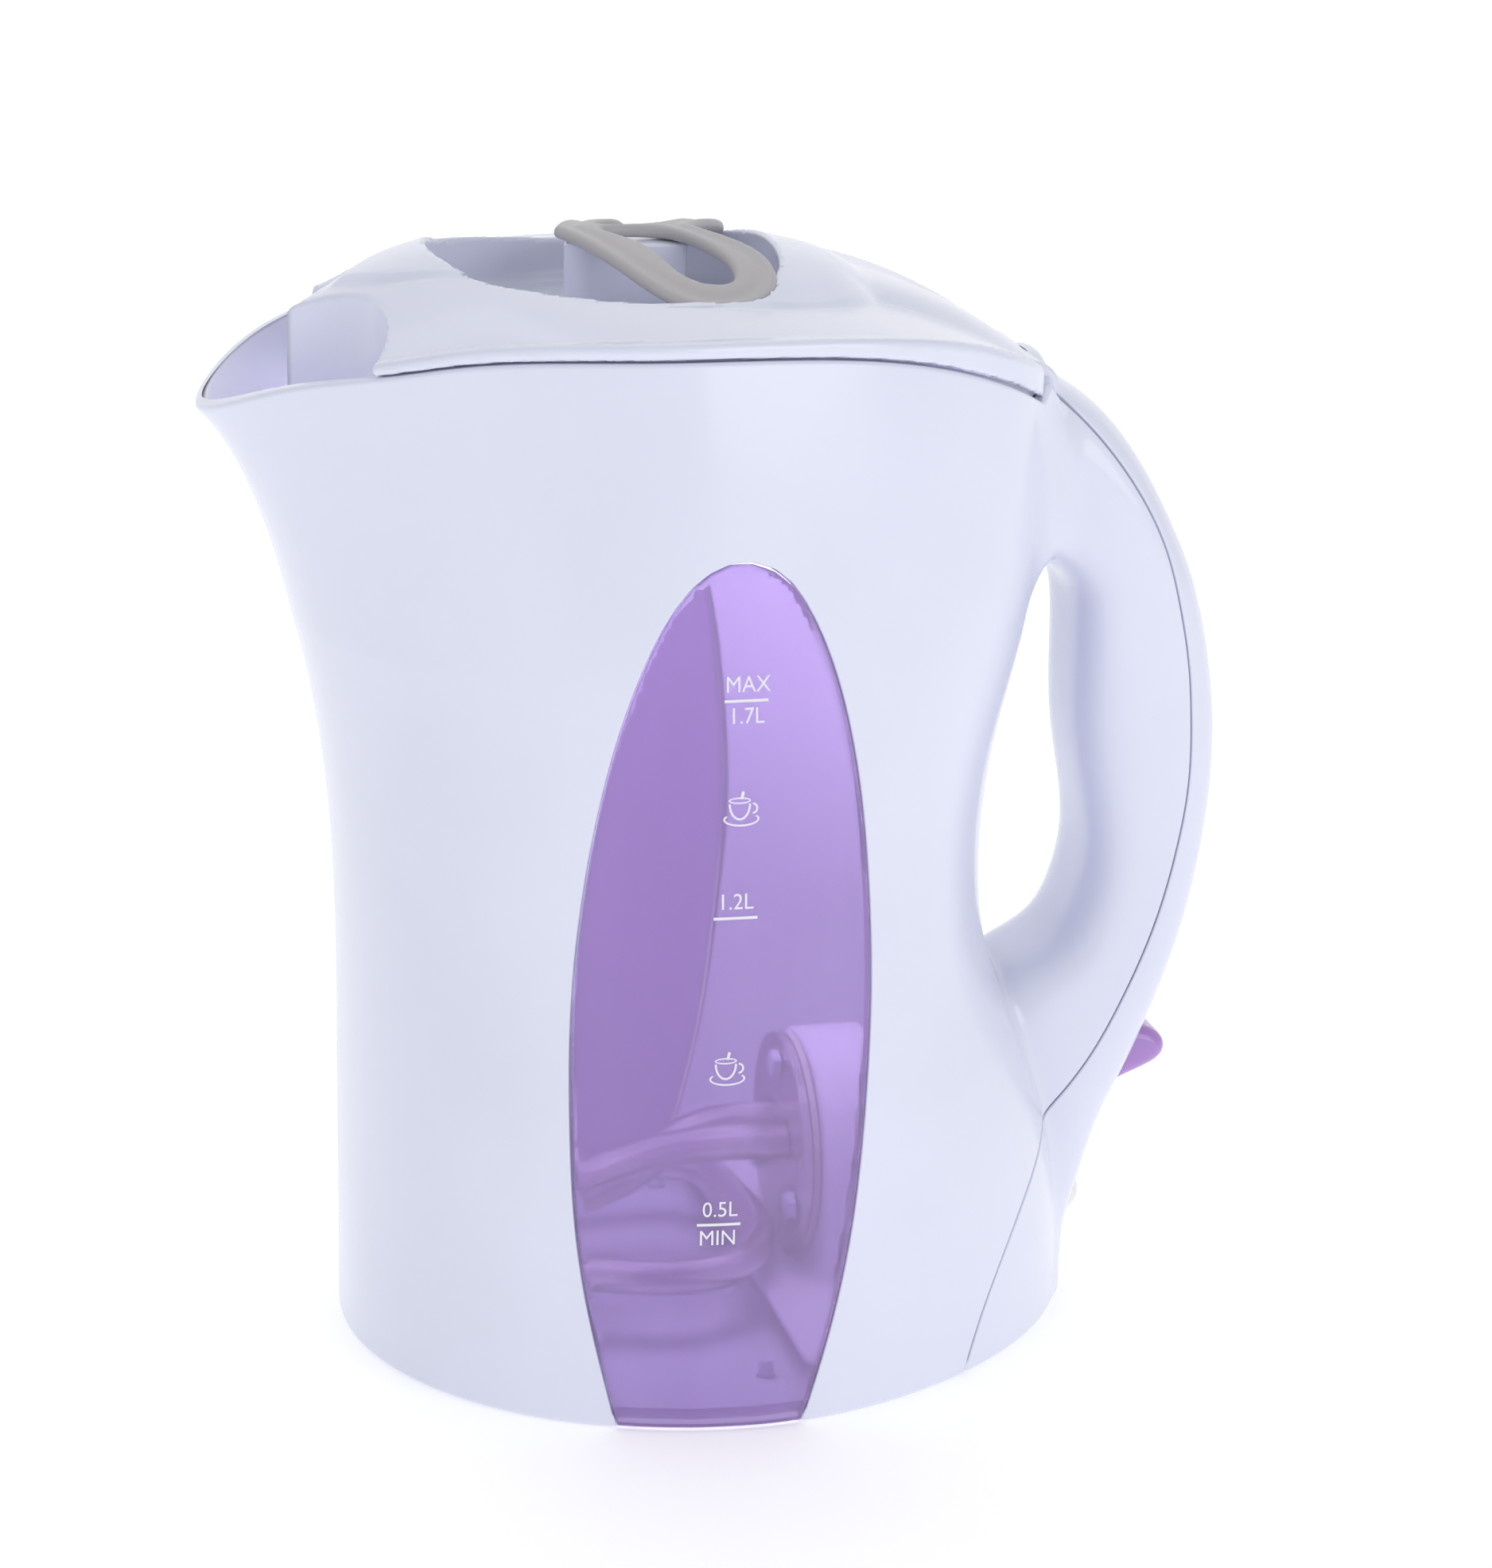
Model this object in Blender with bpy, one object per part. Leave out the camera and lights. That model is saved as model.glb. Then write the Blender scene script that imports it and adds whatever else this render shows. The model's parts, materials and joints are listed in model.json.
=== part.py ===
"""Electric jug kettle: plastic body with two level windows, hinged lid, immersed element.

All sizes below are millimetres; make_object() turns them into metres.
Axes: -X is the spout, +X the handle, +Z up. The kettle stands on z = 0.
"""
import math

import bmesh
import bpy
import numpy as np
from mathutils import Vector

MM = 0.001
GAP = 0.3                      # clearance between neighbouring pieces

# ---- driving dimensions of the jug -------------------------------------------------
SPOUT_X = -101.5               # tip of the spout
FRONT_X = -74.7                # front wall below the spout
FLARE_START = 57.0             # height where the front starts to lean out to the spout
TIP_Z = 187.2                  # height of the spout's tip
RIM_TOP = 206.2                # highest point of the arched rim
RIM_CREST_X = -25.0
RIM_REAR_X = 47.0              # a point of the rim's arch near the hinge
RIM_REAR_DROP = 12.2           # and how far it lies below the crest
ARCH_START = 146.0             # horizontal rings below this height, arched ones above
WALL = 2.4
BOTTOM_Z = 0.6                 # lower edge of the shell; the feet reach z = 0
FLOOR_TOP = 10.0
FLOOR_UNDER = 7.6
BASE_PLATE_TOP = 3.6
SIDES = 36                     # points round the jug

# rear wall of the jug, as (height, x)
REAR_WALL = [(0, 72.0), (20, 71.0), (39, 67.7), (58, 60.7), (75, 53.8), (92, 51.2),
             (109, 51.8), (126, 55.0), (141, 59.0), (156, 61.5), (185, 62.5), (206.2, 62.5)]
# half-width of the jug, as (height, y)
SIDE_WALL = [(0, 67.2), (30, 67.4), (70, 67.2), (110, 65.8), (146, 63.2), (178, 59.6), (206.2, 56.0)]

# ---- handle: each station is outer x, outer z, inner x, inner z ---------------------
HANDLE = [(58, 193.3, 42, 163.0), (72.0, 184.2, 50, 155.4), (82.0, 172.4, 58.5, 151.2),
          (88.6, 160.4, 64.5, 149.3), (92.9, 150.9, 68.0, 146.5), (95.9, 141.2, 69.6, 139.2),
          (97.9, 131.7, 69.9, 130.5), (99.2, 121.3, 70.1, 119.8), (99.5, 111.6, 71.2, 110.6),
          (98.7, 100, 73.0, 100.4), (96.9, 88.3, 73.5, 91.7), (94.0, 75.6, 71.6, 82.4),
          (89.6, 61.9, 67.0, 74.6), (84.6, 47.2, 58.0, 69.5), (79.5, 35.5, 50.0, 56.3),
          (75.1, 19.8, 47.5, 23.2), (72.6, 8, 47.0, 8.6), (72.0, 1.5, 47.0, 1.5)]
HANDLE_HALF_WIDTH = 18.0
HANDLE_SIDES = 14

# seam between the jug and the handle's rear cover, as (x, z)
SEAM = [(39.5, 0), (43.8, 12), (49.5, 23), (57, 33.5), (65.6, 42.3), (73.4, 52.1),
        (79.5, 63.5), (85.5, 78.2), (89.8, 94.5), (91.9, 109), (91.8, 122.2), (91, 132),
        (88.6, 144.7), (85.4, 156), (80.1, 166.6), (73.3, 176.2), (66.7, 183.4), (60.5, 189.1)]

# level window: (height, front edge x, rear edge x)
WINDOW = [(-6, -30.3, 0.9), (9, -33.9, 5.8), (23, -37.0, 9.6), (40, -39.5, 12.8),
          (60, -40.6, 14.9), (84, -40.5, 16.2), (105, -38.7, 15.4), (122, -35.9, 13.6),
          (137, -32.2, 10.8), (150, -27.5, 7.0), (160, -22.2, 2.4), (165.8, -16.8, -2.2)]
WINDOW_APEX = (-9.3, 168.4)

# hinge of the lid
HINGE_X = 58.5
HINGE_Z = 188.9
PIN_R = 1.5
PIN_HOLE_R = 1.85
KNUCKLE_R = 3.0
KNUCKLE_HALF = 8.7
LID_ROOT_R = 5.0
LID_RELIEF_R = 5.6

# control compartment behind the element
POCKET_X = 17.7
POCKET_HALF = 28.4
POCKET_TOP = 54.5
POCKET_WALL = 2.3
HEAD_Z = 32.0


# ---- small tools -------------------------------------------------------------------
def clear_scene():
    for obj in list(bpy.data.objects):
        bpy.data.objects.remove(obj, do_unlink=True)


def material(name, colour, roughness, metallic=0.0, alpha=1.0):
    mat = bpy.data.materials.new(name)
    mat.use_nodes = True
    shader = mat.node_tree.nodes["Principled BSDF"]
    shader.inputs["Base Color"].default_value = (*colour, 1.0)
    shader.inputs["Roughness"].default_value = roughness
    shader.inputs["Metallic"].default_value = metallic
    shader.inputs["Alpha"].default_value = alpha
    mat.diffuse_color = (*colour, alpha)
    return mat


def make_object(name, verts, faces, mat=None):
    """Mesh object from millimetre points, its faces turned outwards."""
    mesh = bpy.data.meshes.new(name)
    mesh.from_pydata([tuple(float(c) * MM for c in v) for v in verts], [], faces)
    bm = bmesh.new()
    bm.from_mesh(mesh)
    bmesh.ops.recalc_face_normals(bm, faces=bm.faces)
    bmesh.ops.triangulate(bm, faces=bm.faces)
    bm.to_mesh(mesh)
    bm.free()
    obj = bpy.data.objects.new(name, mesh)
    bpy.context.collection.objects.link(obj)
    if mat:
        mesh.materials.append(mat)
    return obj


def curve_at(points, value):
    """Smooth value of y at x = value through the (x, y) points, without overshoot."""
    xs = np.array([p[0] for p in points], float)
    ys = np.array([p[1] for p in points], float)
    slopes = np.gradient(ys, xs)
    i = int(np.clip(np.searchsorted(xs, value) - 1, 0, len(xs) - 2))
    step = xs[i + 1] - xs[i]
    t = float(np.clip((value - xs[i]) / step, 0.0, 1.0))
    rise = ys[i + 1] - ys[i]
    return (ys[i] + t * t * (3 - 2 * t) * rise
            + step * t * (1 - t) * ((1 - t) * slopes[i] - t * slopes[i + 1]))


def combine(target, other, operation, keep_other=False):
    """Boolean of two objects, applied to the target's mesh."""
    mod = target.modifiers.new("combine", "BOOLEAN")
    mod.operation = operation
    mod.solver = "EXACT"
    mod.object = other
    graph = bpy.context.evaluated_depsgraph_get()
    mesh = bpy.data.meshes.new_from_object(target.evaluated_get(graph))
    target.modifiers.remove(mod)
    target.data = mesh
    if not keep_other:
        bpy.data.objects.remove(other, do_unlink=True)
    return target


def cut(target, other, keep_other=False):
    return combine(target, other, "DIFFERENCE", keep_other)


def join(target, other, keep_other=False):
    return combine(target, other, "UNION", keep_other)


def common(target, other, keep_other=False):
    return combine(target, other, "INTERSECT", keep_other)


def duplicate(obj, name):
    copy = obj.copy()
    copy.data = obj.data.copy()
    copy.name = name
    bpy.context.collection.objects.link(copy)
    return copy


def finish(obj, name, mat, flat=False, weld=0.004):
    """Name the piece, give it its one material and melt slivers left by the Booleans.

    flat merges the coplanar triangles of a piece that has only flat and straight sides.
    """
    obj.name = name
    obj.data.name = name
    obj.data.materials.clear()
    obj.data.materials.append(mat)
    bm = bmesh.new()
    bm.from_mesh(obj.data)
    bmesh.ops.remove_doubles(bm, verts=bm.verts, dist=weld * MM)
    if flat:
        bmesh.ops.dissolve_limit(bm, angle_limit=math.radians(0.1), verts=bm.verts, edges=bm.edges)
    bmesh.ops.triangulate(bm, faces=bm.faces)
    bmesh.ops.dissolve_degenerate(bm, edges=bm.edges, dist=weld * MM)
    bm.to_mesh(obj.data)
    bm.free()
    obj.data.shade_smooth()
    obj.data.set_sharp_from_angle(angle=math.radians(35))
    return obj


def loft(name, rings, mat=None):
    """Closed skin over rings of equal length; its two end rings are capped in strips.

    Every ring starts on the plane y = 0 and is symmetric about it, so the caps join
    each point with its mirror image.
    """
    count = len(rings[0])
    verts = np.vstack(rings)
    faces = []
    for k in range(len(rings) - 1):
        for i in range(count):
            j = (i + 1) % count
            faces.append((k * count + i, k * count + j, (k + 1) * count + j, (k + 1) * count + i))
    for base in (0, (len(rings) - 1) * count):
        for i in range(count // 2):
            quad = [base + i, base + i + 1, base + (count - i - 1) % count, base + (count - i) % count]
            faces.append(tuple(dict.fromkeys(quad)))
    return make_object(name, verts, faces, mat)


def prism(name, outline, half_width, centre_y=0.0, mat=None):
    """Outline in the XZ plane, drawn out along Y."""
    count = len(outline)
    verts = [(x, centre_y - half_width, z) for x, z in outline]
    verts += [(x, centre_y + half_width, z) for x, z in outline]
    faces = [tuple(range(count)), tuple(range(2 * count - 1, count - 1, -1))]
    for i in range(count):
        j = (i + 1) % count
        faces.append((i, j, count + j, count + i))
    return make_object(name, verts, faces, mat)


def box(name, low, high, mat=None):
    outline = [(low[0], low[2]), (high[0], low[2]), (high[0], high[2]), (low[0], high[2])]
    middle = (low[1] + high[1]) / 2
    return prism(name, outline, (high[1] - low[1]) / 2, middle, mat)


def rod(name, start, end, radius, sides=16, mat=None, end_radius=None):
    """Round bar or cone from start to end."""
    start, end = Vector(start), Vector(end)
    turn = (end - start).to_track_quat("Z", "Y")
    verts = []
    for centre, r in ((start, radius), (end, radius if end_radius is None else end_radius)):
        for i in range(sides):
            a = 2 * math.pi * (i + 0.5) / sides
            verts.append(centre + turn @ Vector((r * math.cos(a), r * math.sin(a), 0)))
    faces = [tuple(range(sides)), tuple(range(2 * sides - 1, sides - 1, -1))]
    for i in range(sides):
        j = (i + 1) % sides
        faces.append((i, j, sides + j, sides + i))
    return make_object(name, verts, faces, mat)


# ---- outlines of the jug -----------------------------------------------------------
def rim_z(x):
    """Height of the rim above the point x: flat over the middle, falling to both ends."""
    if x < RIM_CREST_X:
        return RIM_TOP - (RIM_TOP - TIP_Z) * ((RIM_CREST_X - x) / (RIM_CREST_X - SPOUT_X)) ** 3.2
    return RIM_TOP - RIM_REAR_DROP * ((x - RIM_CREST_X) / (RIM_REAR_X - RIM_CREST_X)) ** 3.2


def front_x(z):
    """Front wall: upright, then a cubic sweep out to the spout's tip."""
    t = max(0.0, (z - FLARE_START) / (TIP_Z - FLARE_START))
    return FRONT_X + (SPOUT_X - FRONT_X) * t ** 3


def arch_share(height):
    return max(0.0, (height - ARCH_START) / (RIM_TOP - ARCH_START))


def body_ring(height, inset=0.0, rear_limit=None, lift=0.0):
    """Plan outline of the jug at a crown height, moved in by inset."""
    share = arch_share(min(height, RIM_TOP))
    tip_z = height - share * (RIM_TOP - TIP_Z)
    low = max(0.0, 1.0 - height / 60.0)
    middle = -8.0 + 3.0 * low - 7.0 * share
    front = front_x(tip_z) + inset
    rear = curve_at(REAR_WALL, min(height, RIM_TOP)) - inset
    if rear_limit is not None:
        rear = min(rear, rear_limit)
    half = curve_at(SIDE_WALL, min(height, RIM_TOP)) - inset
    front_power = 2.05 - 0.3 * share
    rear_power = 2.0 - 0.25 * low + 0.2 * share
    ring = []
    for i in range(SIDES):
        a = math.pi + 2 * math.pi * i / SIDES
        c, s = math.cos(a), math.sin(a)
        power = 2.0 / (front_power if c < 0 else rear_power)
        reach = (middle - front) if c < 0 else (rear - middle)
        x = middle + math.copysign(abs(c) ** power, c) * reach
        y = math.copysign(abs(s) ** power, s) * half if abs(s) > 1e-9 else 0.0
        ring.append((x, y, height + lift + share * (rim_z(x) - RIM_TOP)))
    return np.array(ring)


BODY_HEIGHTS = [20, 40, 58, 74, 92, 110, 128, ARCH_START, 162, 178, 193, RIM_TOP]


def body_solid(name):
    rings = [body_ring(BOTTOM_Z, 1.2), body_ring(BOTTOM_Z + 0.6, 0.4), body_ring(BOTTOM_Z + 2.0)]
    rings += [body_ring(h) for h in BODY_HEIGHTS]
    return loft(name, rings)


def handle_ring(station, inset=0.0):
    """Rounded-box section between the handle's outer and inner edge."""
    ox, oz, ix, iz = station
    centre = Vector(((ox + ix) / 2, 0, (oz + iz) / 2))
    half = Vector(((ox - ix) / 2, 0, (oz - iz) / 2))
    half *= 1.0 - inset / half.length
    ring = []
    for i in range(HANDLE_SIDES):
        a = 2 * math.pi * i / HANDLE_SIDES
        c, s = math.cos(a), math.sin(a)
        out = math.copysign(abs(c) ** 0.6, c)
        side = math.copysign(abs(s) ** 0.6, s) if abs(s) > 1e-9 else 0.0
        point = centre + half * out
        ring.append((point.x, side * (HANDLE_HALF_WIDTH - inset), point.z))
    return np.array(ring)


def handle_solid(name):
    return loft(name, [handle_ring(s) for s in HANDLE])


def seam_cutter(name, shift):
    """Everything behind the seam; shift moves the seam along X."""
    outline = [(x + shift, z) for x, z in SEAM]
    outline[0] = (SEAM[0][0] - 3.0 + shift, -5.0)
    outline += [(HINGE_X + 1.4 + shift, 198.0), (130, 198), (130, -5)]
    return prism(name, outline, 90)


def inner_channel(name):
    """Hollow inside the handle and behind the control, 2.6 mm inside the outer skin."""
    rings = [handle_ring(station, 2.6) for station in HANDLE[2:]]
    rings[-1][:, 2] = -3.0
    return loft(name, rings)


def window_outline():
    front = [(f, z) for z, f, r in WINDOW]
    rear = [(r, z) for z, f, r in WINDOW]
    return front + [WINDOW_APEX] + rear[::-1]


def arch_outline(half, top, bottom, steps=8):
    """Upright slot with a round head in the YZ plane."""
    points = [(half, bottom)]
    for i in range(steps + 1):
        a = math.pi * i / steps
        points.append((half * math.cos(a), top - half * 0.8 + half * 0.8 * math.sin(a)))
    points.append((-half, bottom))
    return points


def arch_block(name, x0, x1, half, top, bottom):
    outline = arch_outline(half, top, bottom)
    count = len(outline)
    verts = [(x0, y, z) for y, z in outline] + [(x1, y, z) for y, z in outline]
    faces = [tuple(range(count)), tuple(range(2 * count - 1, count - 1, -1))]
    for i in range(count):
        j = (i + 1) % count
        faces.append((i, j, count + j, count + i))
    return make_object(name, verts, faces)


# ---- jug, windows and cover --------------------------------------------------------
def vessel_rear(height):
    """Rear wall of the water space: straight above, and ahead of the seam below."""
    seam_x = np.interp(height, [z for x, z in SEAM[:4]], [x for x, z in SEAM[:4]])
    return min(50.0, seam_x - GAP - WALL)


def vessel_cavity(name):
    """Space for the water, open at the top, without the control's pocket."""
    rings = [body_ring(h, WALL, rear_limit=vessel_rear(h)) for h in [FLOOR_TOP] + BODY_HEIGHTS]
    rings.append(body_ring(RIM_TOP, WALL, rear_limit=50.0, lift=14.0))
    cavity = loft(name, rings)
    return cut(cavity, arch_block("pocket", POCKET_X, 80, POCKET_HALF, POCKET_TOP, 0))


def under_floor(name):
    rings = [body_ring(h, WALL - 0.2) for h in (4.0, FLOOR_UNDER)]
    rings[0][:, 2] = -2.0
    return loft(name, rings)


def control_space(name):
    space = arch_block(name, POCKET_X + POCKET_WALL, 53, POCKET_HALF - POCKET_WALL,
                       POCKET_TOP - POCKET_WALL, -3)
    return join(space, arch_block("rear_space", 51, 60.5, 16.0, 52.0, -3))


def hinge_axis_rod(name, radius, low_y, high_y, sides=24):
    return rod(name, (HINGE_X, low_y, HINGE_Z), (HINGE_X, high_y, HINGE_Z), radius, sides)


def above_rim(name, gap):
    """Everything over the arched rim, back to the hinge."""
    steps = 24
    xs = np.linspace(-120, HINGE_X, steps)
    outline = [(x, rim_z(x) - gap) for x in xs]
    outline += [(HINGE_X, 260), (-120, 260)]
    return prism(name, outline, 90)


def outer_form(name):
    form = join(body_solid(name), handle_solid("handle_form"))
    cut(form, above_rim("over", 0.0))
    cut(form, hinge_axis_rod("relief", LID_RELIEF_R, -70, 70))
    return form


def hollow_out(form):
    cut(form, inner_channel("channel"))
    cut(form, control_space("control_space"))
    cut(form, under_floor("under_floor"))
    return form


def body_shell(form, mat):
    shell = duplicate(form, "body_shell")
    cut(shell, vessel_cavity("cavity"))
    hollow_out(shell)
    cut(shell, seam_cutter("seam", -GAP))
    for side in (-1, 1):
        cut(shell, window_cutter("window_cut", side, WALL + GAP))
    knuckle = hinge_axis_rod("knuckle", KNUCKLE_R, -KNUCKLE_HALF, KNUCKLE_HALF)
    web = prism("web", [(HINGE_X - 2.7, HINGE_Z), (HINGE_X + 1.2, HINGE_Z), (HINGE_X + 1.2, 179.5),
                        (HINGE_X - 9.5, 179.5), (HINGE_X - 7.0, 183.6)], KNUCKLE_HALF)
    join(knuckle, web)
    join(shell, knuckle)
    cut(shell, hinge_axis_rod("pin_hole", PIN_HOLE_R, -30, 30))
    cut(shell, rod("head_hole", (POCKET_X - 5, 0, HEAD_Z), (POCKET_X + 6, 0, HEAD_Z), 13.5, 20))
    for y, z in head_screw_places():
        cut(shell, rod("screw_hole", (POCKET_X - 5, y, z), (POCKET_X + 6, y, z), 2.0, 10))
    for x, y in base_screw_places():
        join(shell, rod("boss", (x, y, BASE_PLATE_TOP + GAP), (x, y, FLOOR_UNDER + 1.0), 3.6, 12))
        cut(shell, rod("bore", (x, y, 0), (x, y, FLOOR_UNDER + 0.6), 1.8, 10))
    return finish(shell, "body_shell", mat)


def window_cutter(name, side, depth):
    """The window's outline through the wall at one side, to a depth below the skin."""
    outline = window_outline()
    cutter = prism(name, outline, 20, side * 55.0)
    rings = [body_ring(4.0, depth), body_ring(4.0, depth)]
    rings[0][:, 2] = -12.0
    rings += [body_ring(h, depth) for h in BODY_HEIGHTS]
    return cut(cutter, loft("inside", rings))


def window(form, side, name, mat):
    pane = prism(name, [(x, z) for x, z in shrink(window_outline(), GAP)], 20, side * 55.0)
    common(pane, duplicate(form, "form_copy"))
    rings = [body_ring(4.0, WALL), body_ring(4.0, WALL)]
    rings[0][:, 2] = -12.0
    rings += [body_ring(h, WALL) for h in BODY_HEIGHTS]
    cut(pane, loft("inside", rings))
    return finish(pane, name, mat)


def shrink(outline, distance):
    """Outline with every point moved inwards along its corner's bisector."""
    points = [Vector((x, z)) for x, z in outline]
    count = len(points)
    area = sum(points[i].x * points[(i + 1) % count].y - points[(i + 1) % count].x * points[i].y
               for i in range(count))
    sign = 1.0 if area > 0 else -1.0
    moved = []
    for i, point in enumerate(points):
        before = (point - points[i - 1]).normalized()
        after = (points[(i + 1) % count] - point).normalized()
        normal = Vector((-(before + after).y, (before + after).x)).normalized()
        moved.append(tuple(point + normal * sign * distance))
    return moved


COVER_SCREW_X, COVER_SCREW_Y = 60.0, 12.0


def cover_room(name):
    """Space in the wide foot of the cover, on both sides of the control."""
    room = loft(name, [body_ring(h, 2.6) for h in (7.0, 20.0, 36.0)])
    return common(room, prism("behind_seam", [(46.0, 0), (46.6, 12), (52.3, 23), (59.8, 33.5),
                                              (65.0, 34.5), (90, 34.5), (90, 0)], 80))


def handle_cover(form, mat):
    cover = duplicate(form, "handle_cover")
    common(cover, seam_cutter("seam", 0.0))
    hollow_out(cover)
    slot = box("lever_slot", (70, -8.2, 40.5), (100, 8.2, 56.5))
    cut(cover, slot)
    cut(cover, rod("lamp_hole", (64, 0, 17), (90, 0, 17), 6.3, 16))
    cut(cover, cover_room("cover_room"))
    web = common(box("post_web", (COVER_SCREW_X - 1.5, -60, 8.0), (COVER_SCREW_X + 1.5, 60, 18.0)), form,
                 keep_other=True)
    join(cover, web)
    for y in (-COVER_SCREW_Y, COVER_SCREW_Y):
        join(cover, rod("post", (COVER_SCREW_X, y, BASE_PLATE_TOP + GAP), (COVER_SCREW_X, y, 15.0), 3.4, 12))
        cut(cover, rod("bore", (COVER_SCREW_X, y, -1), (COVER_SCREW_X, y, 13), 1.8, 10))
    return finish(cover, "handle_cover", mat)


# ---- underside ---------------------------------------------------------------------
CONNECTOR_X = 38.0
TRIP_X, TRIP_Z = 56.0, 43.5


def base_plate(mat):
    rings = [body_ring(4.0, WALL + 1.2) for _ in range(2)]
    rings[0][:, 2] = 1.4
    rings[1][:, 2] = BASE_PLATE_TOP
    plate = loft("base_plate", rings)
    cut(plate, box("connector_opening", (CONNECTOR_X - 10, -14, -1), (CONNECTOR_X + 10, 14, 8)))
    for x, y in foot_places():
        cut(plate, rod("foot_seat", (x, y, -1), (x, y, 2.4), 5.6, 16))
    for x, y in base_screw_places():
        cut(plate, rod("screw_hole", (x, y, -1), (x, y, 8), 1.9, 12))
    for y in (-COVER_SCREW_Y, COVER_SCREW_Y):
        cut(plate, rod("screw_hole", (COVER_SCREW_X, y, -1), (COVER_SCREW_X, y, 8), 1.9, 12))
    return finish(plate, "base_plate", mat, flat=True)


def foot_places():
    return [(-46, -30), (-46, 30), (34, -36), (34, 36)]


def base_screw_places():
    return [(-58, 0), (0, -50), (0, 50)]


def feet(mat):
    for (x, y), name in zip(foot_places(), ("front_near", "front_far", "rear_near", "rear_far")):
        pad = rod("pad", (x, y, 0), (x, y, 2.1), 5.2, 16)
        finish(pad, "foot_" + name, mat)


def base_screws(mat):
    for k, (x, y) in enumerate(base_screw_places()):
        head = rod("head", (x, y, 0.6), (x, y, 1.2), 3.0, 12)
        join(head, rod("shank", (x, y, 1.0), (x, y, FLOOR_UNDER - 0.6), 1.5, 12))
        finish(head, f"base_screw_{k + 1}", mat)


# ---- element and control -----------------------------------------------------------
def head_screw_places():
    places = []
    for k in range(3):
        a = math.radians(90 + 120 * k)
        places.append((16.6 * math.cos(a), HEAD_Z + 16.6 * math.sin(a)))
    return places


def element_head(mat):
    plate = rod("element_head", (POCKET_X - 3.6, 0, HEAD_Z), (POCKET_X - 1.9, 0, HEAD_Z), 22.0, 32)
    join(plate, rod("boss", (POCKET_X - 2.4, 0, HEAD_Z), (POCKET_X + 3.6, 0, HEAD_Z), 12.6, 24))
    for y, z in ELEMENT_ENDS:
        cut(plate, rod("leg_hole", (POCKET_X - 9, y, z), (POCKET_X + 9, y, z), 4.1, 16))
    for y, z in head_screw_places():
        cut(plate, rod("stud_hole", (POCKET_X - 9, y, z), (POCKET_X + 9, y, z), 1.8, 10))
    return finish(plate, "element_head", mat, flat=True)


def element_gasket(mat):
    ring = rod("element_gasket", (POCKET_X - 1.6, 0, HEAD_Z), (POCKET_X - GAP, 0, HEAD_Z), 22.0, 32)
    cut(ring, rod("hole", (POCKET_X - 6, 0, HEAD_Z), (POCKET_X + 3, 0, HEAD_Z), 19.0, 32))
    return finish(ring, "element_gasket", mat, flat=True)


def head_screws(mat):
    for k, (y, z) in enumerate(head_screw_places()):
        head = rod("head", (POCKET_X - 5.6, y, z), (POCKET_X - 3.9, y, z), 2.9, 6)
        join(head, rod("shank", (POCKET_X - 4.1, y, z), (POCKET_X + 5.8, y, z), 1.45, 12))
        finish(head, f"head_screw_{k + 1}", mat)


# element legs leave the head at these (y, z) places
ELEMENT_ENDS = [(-6.5, HEAD_Z + 2.5), (6.5, HEAD_Z + 2.5)]
ELEMENT_R = 3.6
COIL_CENTRE = -12.0


def smooth_path(points, steps):
    """Catmull-Rom curve through the points."""
    pts = [Vector(p) for p in points]
    pts = [2 * pts[0] - pts[1]] + pts + [2 * pts[-1] - pts[-2]]
    path = []
    for i in range(1, len(pts) - 2):
        a, b, c, d = pts[i - 1:i + 3]
        for k in range(steps):
            t = k / steps
            path.append(0.5 * (2 * b + (c - a) * t + (2 * a - 5 * b + 4 * c - d) * t * t
                               + (3 * b - a - 3 * c + d) * t ** 3))
    path.append(pts[-2])
    return path


def element_route():
    """From the head forwards, down, once round the wide turn, inwards and back."""
    (y0, z0), (y1, z1) = ELEMENT_ENDS
    start = [(POCKET_X + 5.5, y0, z0), (POCKET_X - 6, y0, z0), (0, y0 - 1.5, z0 + 1.0)]
    coil_z = FLOOR_TOP + ELEMENT_R + 3.0
    turns = [(-18, -9.5, z0 - 0.5), (-38, -15, z0 - 5.5), (-48, -4, coil_z + 3)]
    for degrees in (165, 130, 95, 60, 25, -10, -45, -80, -115, -145):
        a = math.radians(degrees)
        r = 31.0 if degrees > -60 else 29.5
        wide = 20.5 if abs(degrees) < 50 else r
        turns.append((COIL_CENTRE + wide * math.cos(a), r * math.sin(a), coil_z))
    back = [(-34, -3, coil_z), (-30, 9, coil_z + 0.5), (-16, 12.5, coil_z + 4),
            (-2, 8.5, z1 - 2.5), (POCKET_X - 6, y1, z1), (POCKET_X + 5.5, y1, z1)]
    return smooth_path(start + turns + back, 3)


def heating_element(mat):
    """Sheathed tube, bent cold; its ends reach through the head."""
    data = bpy.data.curves.new("heating_element", "CURVE")
    data.dimensions = "3D"
    spline = data.splines.new("POLY")
    route = element_route()
    spline.points.add(len(route) - 1)
    for point, place in zip(spline.points, route):
        point.co = (place.x * MM, place.y * MM, place.z * MM, 1.0)
    data.bevel_depth = ELEMENT_R * MM
    data.bevel_resolution = 2
    data.use_fill_caps = True
    data.materials.append(mat)
    obj = bpy.data.objects.new("heating_element", data)
    bpy.context.collection.objects.link(obj)
    return obj


def dry_boil_discs(mat):
    for k, y in enumerate((-6.5, 6.5)):
        z = HEAD_Z - 8.5
        disc = rod("disc", (POCKET_X + 6.4, y, z), (POCKET_X + 6.9, y, z), 5.5, 16)
        finish(disc, f"dry_boil_disc_{k + 1}", mat)


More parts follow.
